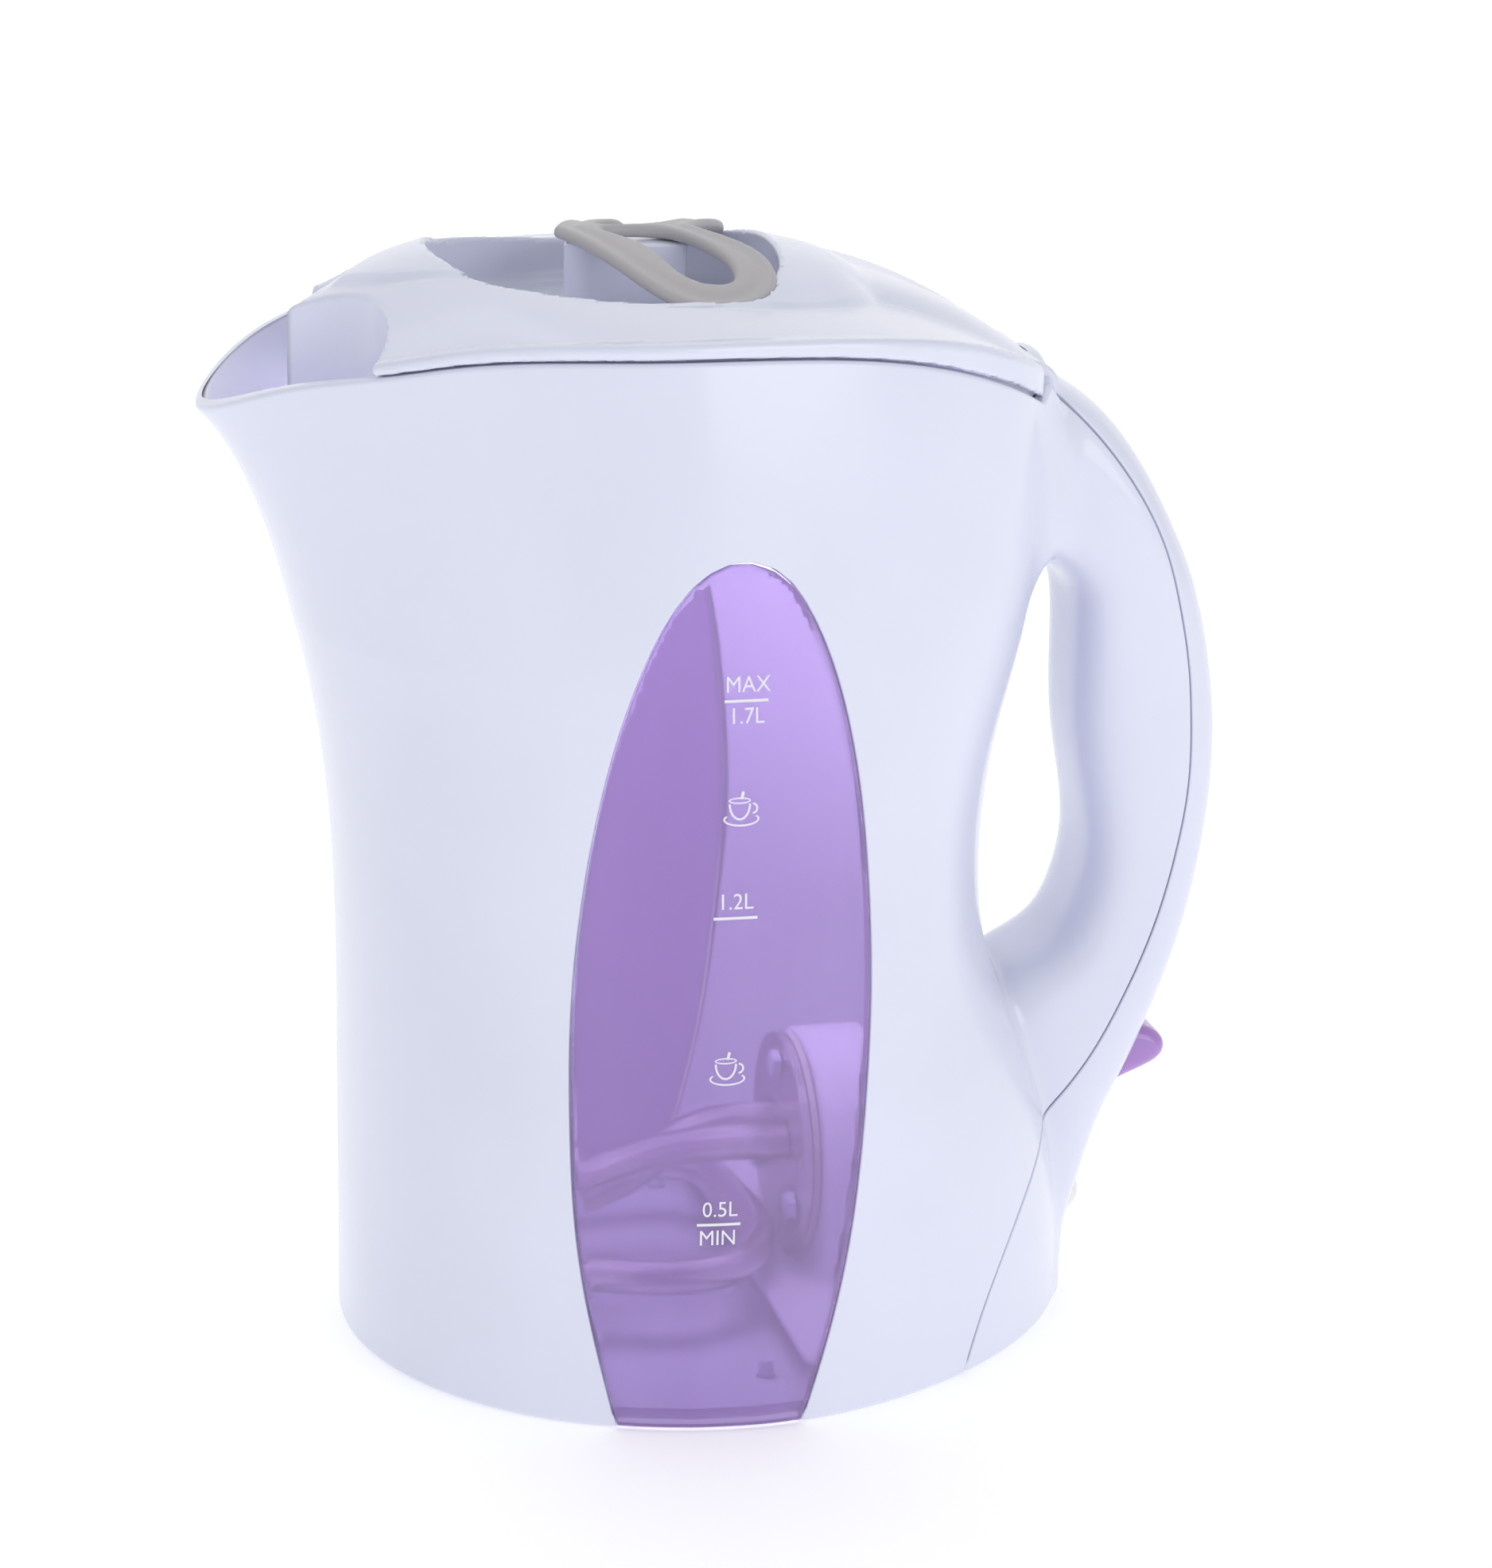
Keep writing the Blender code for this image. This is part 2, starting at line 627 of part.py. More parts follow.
def control_body(mat):
    """Moulded block of the control, with the shroud of the plug-in connector under it."""
    block = box("control_body", (POCKET_X + 7.5, -20, 14), (48.0, 20, 40))
    join(block, box("tower", (34.0, -11, 39), (48.0, 11, 47)))
    shroud = box("shroud", (CONNECTOR_X - 8.6, -12.5, 1.6), (CONNECTOR_X + 8.6, 12.5, 15))
    join(block, shroud)
    cut(block, box("socket", (CONNECTOR_X - 6.6, -10.5, -1), (CONNECTOR_X + 6.6, 10.5, 11)))
    for side in (-1, 1):
        ear = box("ear", (44, side * 9.8 - 1.4, 36), (TRIP_X + 2.6, side * 9.8 + 1.4, TRIP_Z + 2.6))
        join(block, ear)
    cut(block, rod("ear_bore", (TRIP_X, -20, TRIP_Z), (TRIP_X, 20, TRIP_Z), 1.55, 12))
    for y in (-6, 0, 6):
        cut(block, box("pin_slot", (CONNECTOR_X - 2.4, y - 1.0, 8), (CONNECTOR_X + 2.4, y + 1.0, 17)))
    return finish(block, "control_body", mat, flat=True)


def connector_pins(mat):
    for k, y in enumerate((-6, 0, 6)):
        pin = box("pin", (CONNECTOR_X - 2.0, y - 0.6, 3.4), (CONNECTOR_X + 2.0, y + 0.6, 16.4))
        finish(pin, f"connector_pin_{k + 1}", mat)


def steam_disc(mat):
    disc = rod("steam_disc", (48.6, 0, 30), (49.2, 0, 30), 7.5, 20)
    return finish(disc, "steam_disc", mat, flat=True)




def trip_lever(mat):
    """Rocking lever between the steam disc and the switch."""
    lever = box("trip_lever", (TRIP_X - 1.2, -5, 32), (TRIP_X + 1.2, 5, 52))
    join(lever, rod("barrel", (TRIP_X, -6.5, TRIP_Z), (TRIP_X, 6.5, TRIP_Z), 3.2, 16))
    cut(lever, rod("bore", (TRIP_X, -20, TRIP_Z), (TRIP_X, 20, TRIP_Z), 1.6, 12))
    return finish(lever, "trip_lever", mat, flat=True)


def trip_pin(mat):
    return finish(rod("trip_pin", (TRIP_X, -11.0, TRIP_Z), (TRIP_X, 11.0, TRIP_Z), 1.2, 12), "trip_pin", mat)


SWITCH_X, SWITCH_Z = 75.0, 48.6


def switch_lever(mat):
    """Thumb lever: a wedge outside the cover, a hub on its pin inside."""
    wedge = prism("switch_lever", [(SWITCH_X, 45.1), (80.0, 42.6), (88.8, 46.4), (90.8, 48.2),
                                   (91.2, 49.8), (90.1, 51.4), (87.1, 52.8), (82.6, 53.5),
                                   (SWITCH_X, 52.1)], 7.4)
    join(wedge, rod("hub", (SWITCH_X, -7.4, SWITCH_Z), (SWITCH_X, 7.4, SWITCH_Z), 3.5, 20))
    join(wedge, prism("tail", [(SWITCH_X, 50.6), (60.0, 49.6), (60.0, 47.6), (SWITCH_X, 46.6)], 3.5))
    cut(wedge, rod("bore", (SWITCH_X, -20, SWITCH_Z), (SWITCH_X, 20, SWITCH_Z), 1.6, 12))
    return finish(wedge, "switch_lever", mat, flat=True)


def switch_pin(mat):
    pin = rod("switch_pin", (SWITCH_X, -13.0, SWITCH_Z), (SWITCH_X, 13.0, SWITCH_Z), 1.2, 12)
    return finish(pin, "switch_pin", mat)


def dome(name, centre, radii, rings=5, sides=16):
    """Half ellipsoid that bulges along +X."""
    verts, faces = [], []
    for k in range(rings):
        a = 0.5 * math.pi * k / rings
        for i in range(sides):
            b = 2 * math.pi * i / sides
            verts.append((centre[0] + radii[0] * math.sin(a), centre[1] + radii[1] * math.cos(a) * math.cos(b),
                          centre[2] + radii[2] * math.cos(a) * math.sin(b)))
    verts.append((centre[0] + radii[0], centre[1], centre[2]))
    for k in range(rings - 1):
        for i in range(sides):
            j = (i + 1) % sides
            faces.append((k * sides + i, k * sides + j, (k + 1) * sides + j, (k + 1) * sides + i))
    for i in range(sides):
        faces.append(((rings - 1) * sides + i, (rings - 1) * sides + (i + 1) % sides, rings * sides))
    faces.append(tuple(range(sides)))
    return make_object(name, verts, faces)


def indicator_lens(mat):
    lens = dome("indicator_lens", (70.5, 0, 17.0), (7.0, 5.8, 5.8))
    join(lens, rod("flange", (67.2, 0, 17), (70.7, 0, 17), 5.8, 16))
    return finish(lens, "indicator_lens", mat)


def neon_lamp(mat):
    return finish(rod("neon_lamp", (58.6, 0, 23), (64.8, 0, 23), 2.4, 12), "neon_lamp", mat)


def steam_tube(mat):
    """Soft duct that leads steam down the hollow handle to the control."""
    data = bpy.data.curves.new("steam_tube", "CURVE")
    data.dimensions = "3D"
    places = []
    for ox, oz, ix, iz in HANDLE[3:13]:
        places.append((0.55 * ix + 0.45 * ox, 0, 0.55 * iz + 0.45 * oz))
    route = smooth_path(places, 2)
    spline = data.splines.new("POLY")
    spline.points.add(len(route) - 1)
    for point, place in zip(spline.points, route):
        point.co = (place.x * MM, place.y * MM, place.z * MM, 1.0)
    data.bevel_depth = 4.0 * MM
    data.bevel_resolution = 2
    data.use_fill_caps = True
    data.materials.append(mat)
    obj = bpy.data.objects.new("steam_tube", data)
    bpy.context.collection.objects.link(obj)
    return obj


def cover_screws(mat):
    for k, y in enumerate((-COVER_SCREW_Y, COVER_SCREW_Y)):
        head = rod("head", (COVER_SCREW_X, y, 0.6), (COVER_SCREW_X, y, 1.2), 3.0, 12)
        join(head, rod("shank", (COVER_SCREW_X, y, 1.0), (COVER_SCREW_X, y, 11.0), 1.45, 12))
        finish(head, f"cover_screw_{k + 1}", mat)


# ---- lid ---------------------------------------------------------------------------
# crown of the lid above the rim's arch on the centre line, as (x, height)
LID_CROWN = [(-92, 8.0), (-75, 9.2), (-60, 11.0), (-45, 12.4), (-17, 12.8), (0, 12.6), (13, 10.8),
             (24, 8.0), (28, 5.2), (59, 4.4)]
FLANGE = 3.2
LID_GAP = 0.5                  # between the rim and the lid that lies on it
SCOOP_X, SCOOP_Y, SCOOP_R = -92.0, 22.0, 23.5
NOSE_X = -86.0
NOSE_REAR = -65.0


def lid_height(x, share):
    """Height above the rim's arch at a place; share is 0 on the centre line, 1 at the edge."""
    crown = curve_at(LID_CROWN, x)
    if share > 0.93:
        return FLANGE - 0.9 * (share - 0.93) / 0.07
    if share > 0.72:
        t = (share - 0.72) / 0.21
        return 2.2 + (FLANGE - 2.2) * t
    t = share / 0.72
    return 2.2 + (crown - 2.2) * (1 - t ** 1.9)


LID_SHARES = [1.0, 0.93, 0.74, 0.66, 0.52, 0.36, 0.18]


def lid_form(name, front):
    """Arched slab from the rim up to the crown, in rings round the centre line."""
    edge = body_ring(RIM_TOP)
    middle = -13.0

    def lid_ring(share, bend, high):
        ring = edge.copy()
        ring[:, 0] = middle + (edge[:, 0] - middle) * share ** bend
        ring[:, 1] = edge[:, 1] * share
        ring[:, 2] = [rim_z(x) + LID_GAP + (lid_height(x, share) if high else 0.0) for x in ring[:, 0]]
        return ring
    rings = [lid_ring(share, 0.5, False) for share in (0.3, 0.66, 1.0)]
    rings += [lid_ring(share, 0.35, True) for share in LID_SHARES]
    lid = loft(name, rings)
    cut(lid, box("front", (-130, -90, 150), (front, 90, 260)))
    return cut(lid, box("rear", (HINGE_X, -90, 150), (130, 90, 260)))


POCKET_EDGE = [(-59.5, 0), (-59, -6), (-57, -13), (-52.6, -19.8), (-42.4, -26.8), (-28.6, -31.2),
               (-13.6, -32.8), (-4, -31), (3, -25), (7, -15), (8, 0)]


def pocket_outline(grow):
    """Leaf-shaped finger pocket in plan, as (x, y)."""
    whole = POCKET_EDGE + [(x, -y) for x, y in POCKET_EDGE[-2:0:-1]]
    return shrink(whole, -grow) if grow else whole


def plan_prism(name, outline, low, high):
    count = len(outline)
    verts = [(x, y, low) for x, y in outline] + [(x, y, high) for x, y in outline]
    faces = [tuple(range(count)), tuple(range(2 * count - 1, count - 1, -1))]
    for i in range(count):
        j = (i + 1) % count
        faces.append((i, j, count + j, count + i))
    return make_object(name, verts, faces)


POCKET_FLOOR = 202.5
PAN_FRONT_X = -64.2


def grip_outline(outer, grow=0.0):
    """Arrow-shaped loop in plan, as (x, y) down one side; outer or inner edge."""
    if outer:
        half = [(-33.0, 0), (-31, -6), (-26, -18), (-19, -30), (-13, -35), (-6, -36), (1, -33),
                (4.5, -26), (2.5, -15), (-4.5, -4), (-6.5, 0)]
        whole = half + [(x, -y) for x, y in half[-2:0:-1]]
        return shrink(whole, -grow)
    return [(-24, -2.2), (-20, -10), (-15.5, -20), (-10, -28), (-5, -28), (-3.5, -22),
            (-6, -14), (-10.5, -5.5), (-14, -2.2)]


def grip_sheet(name, over=0.0, under=2.4):
    """Saddle the grip is cut from: level along the lid, falling to both sides."""
    xs = np.linspace(-36.0, 8.0, 6)
    ys = np.linspace(-40.0, 40.0, 17)
    verts = []
    for drop in (-over, under):
        verts += [(x, y, 219.6 - 0.0005 * (x + 30) ** 2 - 0.0074 * y * y - drop) for x in xs for y in ys]
    nx, ny = len(xs), len(ys)
    low = nx * ny
    faces = []
    for i in range(nx - 1):
        for j in range(ny - 1):
            a, b, c, d = i * ny + j, i * ny + j + 1, (i + 1) * ny + j + 1, (i + 1) * ny + j
            faces += [(a, b, c, d), (low + a, low + b, low + c, low + d)]
    edge = [j for j in range(ny)] + [(i + 1) * ny - 1 for i in range(1, nx)]
    edge += [(nx - 1) * ny + j for j in range(ny - 2, -1, -1)] + [i * ny for i in range(nx - 2, 0, -1)]
    for k, a in enumerate(edge):
        b = edge[(k + 1) % len(edge)]
        faces.append((a, b, low + b, low + a))
    return make_object(name, verts, faces)


def grip_seat(name):
    """Room for the grip where its two wings lie in the lid."""
    return common(grip_sheet(name, over=12.0, under=2.4 + GAP),
                  plan_prism("plan", grip_outline(True, GAP), 180, 250))


def rear_rib(name):
    """Raised strip that carries the line of the handle up over the rear of the lid."""
    xs = np.linspace(26.0, HINGE_X - 1.0, 6)
    outline = [(x, rim_z(x) + 7.2) for x in xs] + [(x, rim_z(x) + 2.0) for x in xs[::-1]]
    return prism(name, outline, 17.0)


def lid_top(mat):
    lid = lid_form("lid_top", NOSE_X)
    join(lid, nose_block("nose"))
    for scoop in scoops(SCOOP_R):
        cut(lid, scoop)
    cut(lid, nose_channel("channel"))
    bowl = plan_prism("bowl", pocket_outline(2.0), POCKET_FLOOR - 2.2, 210.5)
    join(lid, bowl)
    join(lid, rear_rib("rib"))
    cut(lid, plan_prism("pocket", pocket_outline(0.0), POCKET_FLOOR, 240))
    join(lid, box("web", (-27, -4, POCKET_FLOOR - 1), (-8, 4, 221)))
    join(lid, rod("web_front", (-27, 0, POCKET_FLOOR - 1), (-27, 0, 221), 4.0, 24))
    cut(lid, grip_seat("seat"))
    root = hinge_axis_rod("root", LID_ROOT_R, -60, 60)
    common(root, plan_prism("plan", [tuple(p[:2]) for p in body_ring(RIM_TOP, 0.2)], 150, 250))
    join(lid, root)
    cut(lid, hinge_axis_rod("knuckle_room", KNUCKLE_R + 0.6, -KNUCKLE_HALF - 0.5, KNUCKLE_HALF + 0.5))
    cut(lid, box("knuckle_slot", (HINGE_X, -KNUCKLE_HALF - 0.5, 175), (80, KNUCKLE_HALF + 0.5, 190.6)))
    cut(lid, prism("knuckle_web_room", [(HINGE_X - 4.2, 190.6), (HINGE_X + 1, 190.6), (HINGE_X + 1, 175),
                                        (HINGE_X - 14, 175)], KNUCKLE_HALF + 0.5))
    cut(lid, hinge_axis_rod("pin_hole", PIN_HOLE_R, -30, 30))
    return finish(lid, "lid_top", mat)


def nose_form(name, inset, low, steps, front, rear):
    """Length of the spout's inner form between two places, with a domed top.

    steps are (extra inset, rise above the rim) from the rim up to the crown.
    """
    rings = [body_ring(h, inset) for h in (low, 201.0, RIM_TOP)]
    rings += [body_ring(RIM_TOP, inset + extra, lift=rise) for extra, rise in steps]
    nose = loft(name, rings)
    cut(nose, box("front", (-140, -90, 150), (front, 90, 260)))
    return cut(nose, box("rear", (rear, -90, 150), (130, 90, 260)))


def scoops(radius):
    """Two upright round cutters that leave the front of the lid as a bow."""
    return [rod("scoop", (SCOOP_X, side * SCOOP_Y, 150), (SCOOP_X, side * SCOOP_Y, 250), radius, 48)
            for side in (-1, 1)]


def nose_block(name):
    """Bow of the lid that drops into the spout behind its lips."""
    return nose_form(name, WALL + 0.7, 191.0, [(0.6, 3.0), (3.5, 5.0), (9.0, 5.5)], NOSE_X, NOSE_REAR)


def nose_channel(name):
    """Hollow inside the bow, open below."""
    channel = nose_form(name, WALL + 3.1, 174.0, [(0.6, 1.0)], NOSE_X - 5, NOSE_REAR + 2.5)
    for scoop in scoops(SCOOP_R + 2.4):
        cut(channel, scoop)
    return channel


def lid_inner(mat):
    """Pan under the lid that closes the mouth of the jug."""
    def pan_ring(inset, level):
        ring = body_ring(RIM_TOP, inset, rear_limit=51.0 - inset)
        ring[:, 2] = level if level is not None else [rim_z(x) - GAP for x in ring[:, 0]]
        return ring
    pan = loft("lid_inner", [pan_ring(6.5, 187.0), pan_ring(5.0, 189.5), pan_ring(5.0, None)])
    room = loft("room", [pan_ring(8.5, 189.0), pan_ring(7.0, 191.0), pan_ring(7.0, 230.0)])
    cut(pan, box("front", (-130, -90, 150), (PAN_FRONT_X, 90, 260)))
    cut(room, box("front", (-130, -90, 150), (PAN_FRONT_X + 2.0, 90, 260)))
    cut(pan, room)
    return finish(pan, "lid_inner", mat)


def lid_grip(mat):
    """Soft grip that bridges the finger pocket."""
    grip = common(grip_sheet("lid_grip"), plan_prism("plan", grip_outline(True), 190, 240))
    for side in (-1, 1):
        hole = [(x, side * -y) for x, y in grip_outline(False)]
        cut(grip, plan_prism("hole", hole, 180, 250))
    return finish(grip, "lid_grip", mat)


def hinge_pin(mat):
    return finish(hinge_axis_rod("hinge_pin", PIN_R, -16.5, 16.5, 16), "hinge_pin", mat)


# ---- assembly ----------------------------------------------------------------------
def build():
    clear_scene()
    white = material("white_gloss", (0.78, 0.80, 0.92), 0.25)
    violet = material("violet_clear", (0.42, 0.27, 0.62), 0.12, alpha=0.6)
    violet_solid = material("violet_gloss", (0.36, 0.20, 0.62), 0.25)
    grey = material("grey_soft", (0.52, 0.50, 0.49), 0.6)
    milky = material("milky_lens", (0.86, 0.84, 0.82), 0.3)
    steel = material("steel", (0.60, 0.60, 0.60), 0.3, 1.0)
    dark = material("dark_plastic", (0.06, 0.06, 0.06), 0.6)
    rubber = material("rubber", (0.25, 0.25, 0.25), 0.8)
    brass = material("brass", (0.70, 0.52, 0.25), 0.35, 1.0)
    glass = material("lamp_glass", (0.90, 0.60, 0.45), 0.1)
    silicone = material("silicone", (0.75, 0.75, 0.72), 0.5)

    form = outer_form("outer_form")
    body_shell(form, white)
    window(form, -1, "window_near", violet)
    window(form, 1, "window_far", violet)
    handle_cover(form, white)
    bpy.data.objects.remove(form, do_unlink=True)
    base_plate(white)
    feet(rubber)
    base_screws(steel)
    cover_screws(steel)
    heating_element(steel)
    element_head(steel)
    element_gasket(silicone)
    head_screws(steel)
    dry_boil_discs(brass)
    control_body(dark)
    connector_pins(brass)
    steam_disc(brass)
    trip_lever(dark)
    trip_pin(steel)
    switch_lever(violet_solid)
    switch_pin(steel)
    indicator_lens(milky)
    neon_lamp(glass)
    steam_tube(silicone)
    lid_top(white)
    lid_inner(white)
    lid_grip(grey)
    hinge_pin(steel)


build()
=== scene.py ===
"""Looks of the electric kettle, built around its CAD frame.

The jug, cover, windows, lid, grip and lever are zero surfaces of smooth fields in
millimetres: a field is negative inside the plastic, and a mesh is drawn on its zero.
Axes as in the frame: -X is the spout, +X the handle, +Z up.
"""
import json
import math

import bpy
import numpy as np
from mathutils import Matrix, Vector


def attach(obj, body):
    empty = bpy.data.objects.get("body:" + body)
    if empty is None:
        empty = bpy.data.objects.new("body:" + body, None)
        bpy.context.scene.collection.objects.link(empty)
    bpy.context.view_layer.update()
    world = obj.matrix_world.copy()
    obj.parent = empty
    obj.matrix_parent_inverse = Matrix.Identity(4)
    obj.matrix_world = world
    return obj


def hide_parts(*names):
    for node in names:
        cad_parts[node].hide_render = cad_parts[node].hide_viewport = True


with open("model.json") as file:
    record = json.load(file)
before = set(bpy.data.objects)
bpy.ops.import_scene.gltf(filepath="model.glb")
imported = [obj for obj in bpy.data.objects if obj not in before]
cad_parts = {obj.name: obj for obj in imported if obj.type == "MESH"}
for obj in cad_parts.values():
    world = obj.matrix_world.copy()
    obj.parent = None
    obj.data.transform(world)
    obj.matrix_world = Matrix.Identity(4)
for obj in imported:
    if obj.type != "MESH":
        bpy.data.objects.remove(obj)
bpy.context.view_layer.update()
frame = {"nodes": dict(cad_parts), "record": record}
MM = 0.001

# ---- driving dimensions in millimetres, as in the CAD model ----------------------------------------
SPOUT_X, FRONT_X, FLARE_START = -101.5, -74.7, 57.0
TIP_Z, RIM_TOP = 187.2, 206.2
RIM_CREST_X, RIM_REAR_X, RIM_REAR_DROP = -25.0, 47.0, 12.2
ARCH_START = 146.0
WALL = 2.4
BOTTOM_Z = 0.6
FLOOR_TOP = 10.0
HINGE_X, HINGE_Z = 58.5, 188.9
HANDLE_HALF_WIDTH = 18.0
POCKET_X, POCKET_HALF, POCKET_TOP = 17.7, 28.4, 54.5   # arched pocket of the element's head
HEAD_Z = 32.0
SWITCH_X, SWITCH_Z = 75.0, 48.6

# rear wall of the jug as (height, x), and its half width as (height, y)
REAR_WALL = [(0, 72.0), (20, 71.0), (39, 67.7), (58, 60.7), (75, 53.8), (92, 51.2),
             (109, 51.8), (126, 55.0), (141, 59.0), (156, 61.5), (185, 62.5), (206.2, 62.5)]
SIDE_WALL = [(0, 67.2), (30, 67.4), (70, 67.2), (110, 65.8), (146, 63.2), (178, 59.6), (206.2, 56.0)]
# stations of the handle: outer x, outer z, inner x, inner z; up to 3 mm off the CAD's plainer bar
HANDLE = [(58, 192.1, 42, 163.0), (72.0, 184.2, 50, 157.6), (82.0, 172.4, 58.5, 153.6),
          (88.6, 160.4, 64.5, 151.2), (92.9, 150.9, 68.2, 147.5), (95.9, 141.2, 69.8, 139.8),
          (97.9, 131.7, 69.9, 130.5), (99.2, 121.3, 70.1, 119.8), (99.5, 111.6, 71.2, 110.6),
          (98.7, 100, 73.0, 100.4), (96.9, 88.3, 73.5, 91.7), (94.0, 75.6, 71.6, 82.4),
          (89.6, 61.9, 67.0, 74.6), (83.9, 47.2, 58.0, 69.5), (78.5, 35.5, 50.0, 56.3),
          (73.7, 19.8, 47.5, 23.2), (71.2, 8, 47.0, 8.6), (70.6, -6.0, 47.0, -6.0)]
# seam between the jug and the cover of the handle, as (x, z)
SEAM = [(39.5, 0), (43.8, 12), (49.5, 23), (57, 33.5), (65.6, 42.3), (73.4, 52.1),
        (79.5, 63.5), (85.5, 78.2), (89.8, 94.5), (91.9, 109), (91.8, 122.2), (91, 132),
        (88.6, 144.7), (85.4, 156), (80.1, 166.6), (73.3, 176.2), (66.7, 183.4), (60.5, 189.1)]
# level window: height, front edge x, rear edge x
WINDOW = [(-6, -30.3, 0.9), (9, -33.9, 5.8), (23, -37.0, 9.6), (40, -39.5, 12.8),
          (60, -40.6, 14.9), (84, -40.5, 16.2), (105, -38.7, 15.4), (122, -35.9, 13.6),
          (137, -32.2, 10.8), (150, -27.5, 7.0), (160, -22.2, 2.4), (165.8, -16.8, -2.2)]
WINDOW_APEX = (-9.3, 168.4)
# how far the jug's edge lies below the plain arch of the rim, as (x, depth)
RIM_DIP = [(-101.5, 0), (-94, 0.1), (-86, 0.8), (-78, 1.9), (-70, 2.5), (-60, 2.2), (-40, 1.8),
           (0, 1.5), (26, 0.9), (45, 0.1), (58, -0.5), (66, -0.5)]
RIM_END_X, RIM_END_RISE = 57.5, 1.2
HANDLE_START_X = 50.0


# ---- curves ----------------------------------------------------------------------------------------
def cubic(points):
    """Smooth function through (x, y) points, flat in curvature at both ends."""
    xs, ys = (np.array(column, float) for column in zip(*points))
    count, step = len(xs), np.diff(xs)
    system, right = np.eye(count), np.zeros(count)
    for i in range(1, count - 1):
        system[i, i - 1:i + 2] = step[i - 1], 2 * (step[i - 1] + step[i]), step[i]
        right[i] = 6 * ((ys[i + 1] - ys[i]) / step[i] - (ys[i] - ys[i - 1]) / step[i - 1])
    bend = np.linalg.solve(system, right)

    def value(x):
        x = np.clip(np.asarray(x, float), xs[0], xs[-1])
        i = np.clip(np.searchsorted(xs, x) - 1, 0, count - 2)
        after, before, h = xs[i + 1] - x, x - xs[i], step[i]
        return ((bend[i] * after ** 3 + bend[i + 1] * before ** 3) / (6 * h)
                + (ys[i] / h - bend[i] * h / 6) * after + (ys[i + 1] / h - bend[i + 1] * h / 6) * before)
    return value


def smooth_line(points, count, closed=False):
    """count places along a smooth curve through points of any dimension."""
    points = np.array(points, float)
    if closed:
        points = np.vstack([points[-3:], points, points[:4]])
    along = np.concatenate([[0], np.cumsum(np.linalg.norm(np.diff(points, axis=0), axis=1))])
    start, end = (along[3], along[-4]) if closed else (along[0], along[-1])
    places = np.linspace(start, end, count + 1 if closed else count)
    line = np.stack([cubic(list(zip(along, column)))(places) for column in points.T], 1)
    return line[:-1] if closed else line


def smooth_step(t):
    t = np.clip(t, 0.0, 1.0)
    return t * t * (3 - 2 * t)


def outline_distance(u, v, outline):
    """Distance from the places (u, v) to a closed outline, negative inside it."""
    best = np.full(u.shape, 1e12)
    inside = np.zeros(u.shape, bool)
    for (u0, v0), (u1, v1) in zip(outline, np.roll(outline, -1, axis=0)):
        du, dv = u1 - u0, v1 - v0
        wu, wv = u - u0, v - v0
        t = np.clip((wu * du + wv * dv) / max(du * du + dv * dv, 1e-12), 0, 1)
        best = np.minimum(best, (wu - t * du) ** 2 + (wv - t * dv) ** 2)
        if v0 != v1:
            inside ^= ((v0 <= v) != (v1 <= v)) & (wu < wv * du / dv)
    return np.where(inside, -1.0, 1.0) * np.sqrt(best)


# ---- joining fields --------------------------------------------------------------------------------
def both(a, b, radius):
    """Where both fields are negative, with the edge between them rounded."""
    return (np.minimum(np.maximum(a, b) + radius, 0.0)
            + np.hypot(np.maximum(a + radius, 0.0), np.maximum(b + radius, 0.0)) - radius)


def either(a, b, width):
    """Where either field is negative, with a soft hollow between them."""
    h = np.maximum(width - np.abs(a - b), 0.0) / width
    return np.minimum(a, b) - h * h * width / 4


# ---- mesh from a field -----------------------------------------------------------------------------
def surface_net(values, low, step):
    """Points and quads of the zero surface of a grid of values."""
    inside = values < 0
    cells = np.array(values.shape) - 1
    size = int(cells.prod())
    total, hits, quads = np.zeros((size, 3)), np.zeros(size), []
    for axis in range(3):
        first = tuple(slice(0, -1) if k == axis else slice(None) for k in range(3))
        second = tuple(slice(1, None) if k == axis else slice(None) for k in range(3))
        crossed = inside[first] != inside[second]
        start = np.argwhere(crossed)
        v0, v1 = values[first][crossed], values[second][crossed]
        place = start.astype(float)
        place[:, axis] += v0 / (v0 - v1)
        u, v = (axis + 1) % 3, (axis + 2) % 3
        ring, whole = [], np.ones(len(start), bool)
        for back_u, back_v in ((1, 1), (0, 1), (0, 0), (1, 0)):
            cell = start.copy()
            cell[:, u] -= back_u
            cell[:, v] -= back_v
            good = (cell >= 0).all(1) & (cell < cells).all(1)
            number = (cell[:, 0] * cells[1] + cell[:, 1]) * cells[2] + cell[:, 2]
            number = np.where(good, number, 0)
            hits += np.bincount(number[good], minlength=size)
            for k in range(3):
                total[:, k] += np.bincount(number[good], place[good, k], minlength=size)
            ring.append(number)
            whole &= good
        quad = np.stack(ring, 1)[whole]
        outward = inside[first][crossed][whole]
        quads.append(np.where(outward[:, None], quad, quad[:, ::-1]))
    used = np.flatnonzero(hits)
    renumber = np.full(size, -1)
    renumber[used] = np.arange(len(used))
    points = total[used] / hits[used][:, None] * step + np.array(low)
    return points, renumber[np.vstack(quads)]


def slope(field, points, reach=0.05):
    """Gradient of the field at the points."""
    columns = []
    for k in range(3):
        shift = np.zeros(3)
        shift[k] = reach
        columns.append((field(*(points + shift).T) - field(*(points - shift).T)) / (2 * reach))
    return np.stack(columns, 1)


def settle(field, points, rounds=2):
    """Move points straight onto the field's zero surface."""
    for _ in range(rounds):
        g = slope(field, points)
        size = np.maximum((g * g).sum(1), 0.05)
        move = (field(*points.T) / size)[:, None] * g
        points = points - np.clip(move, -1.5, 1.5)
    return points


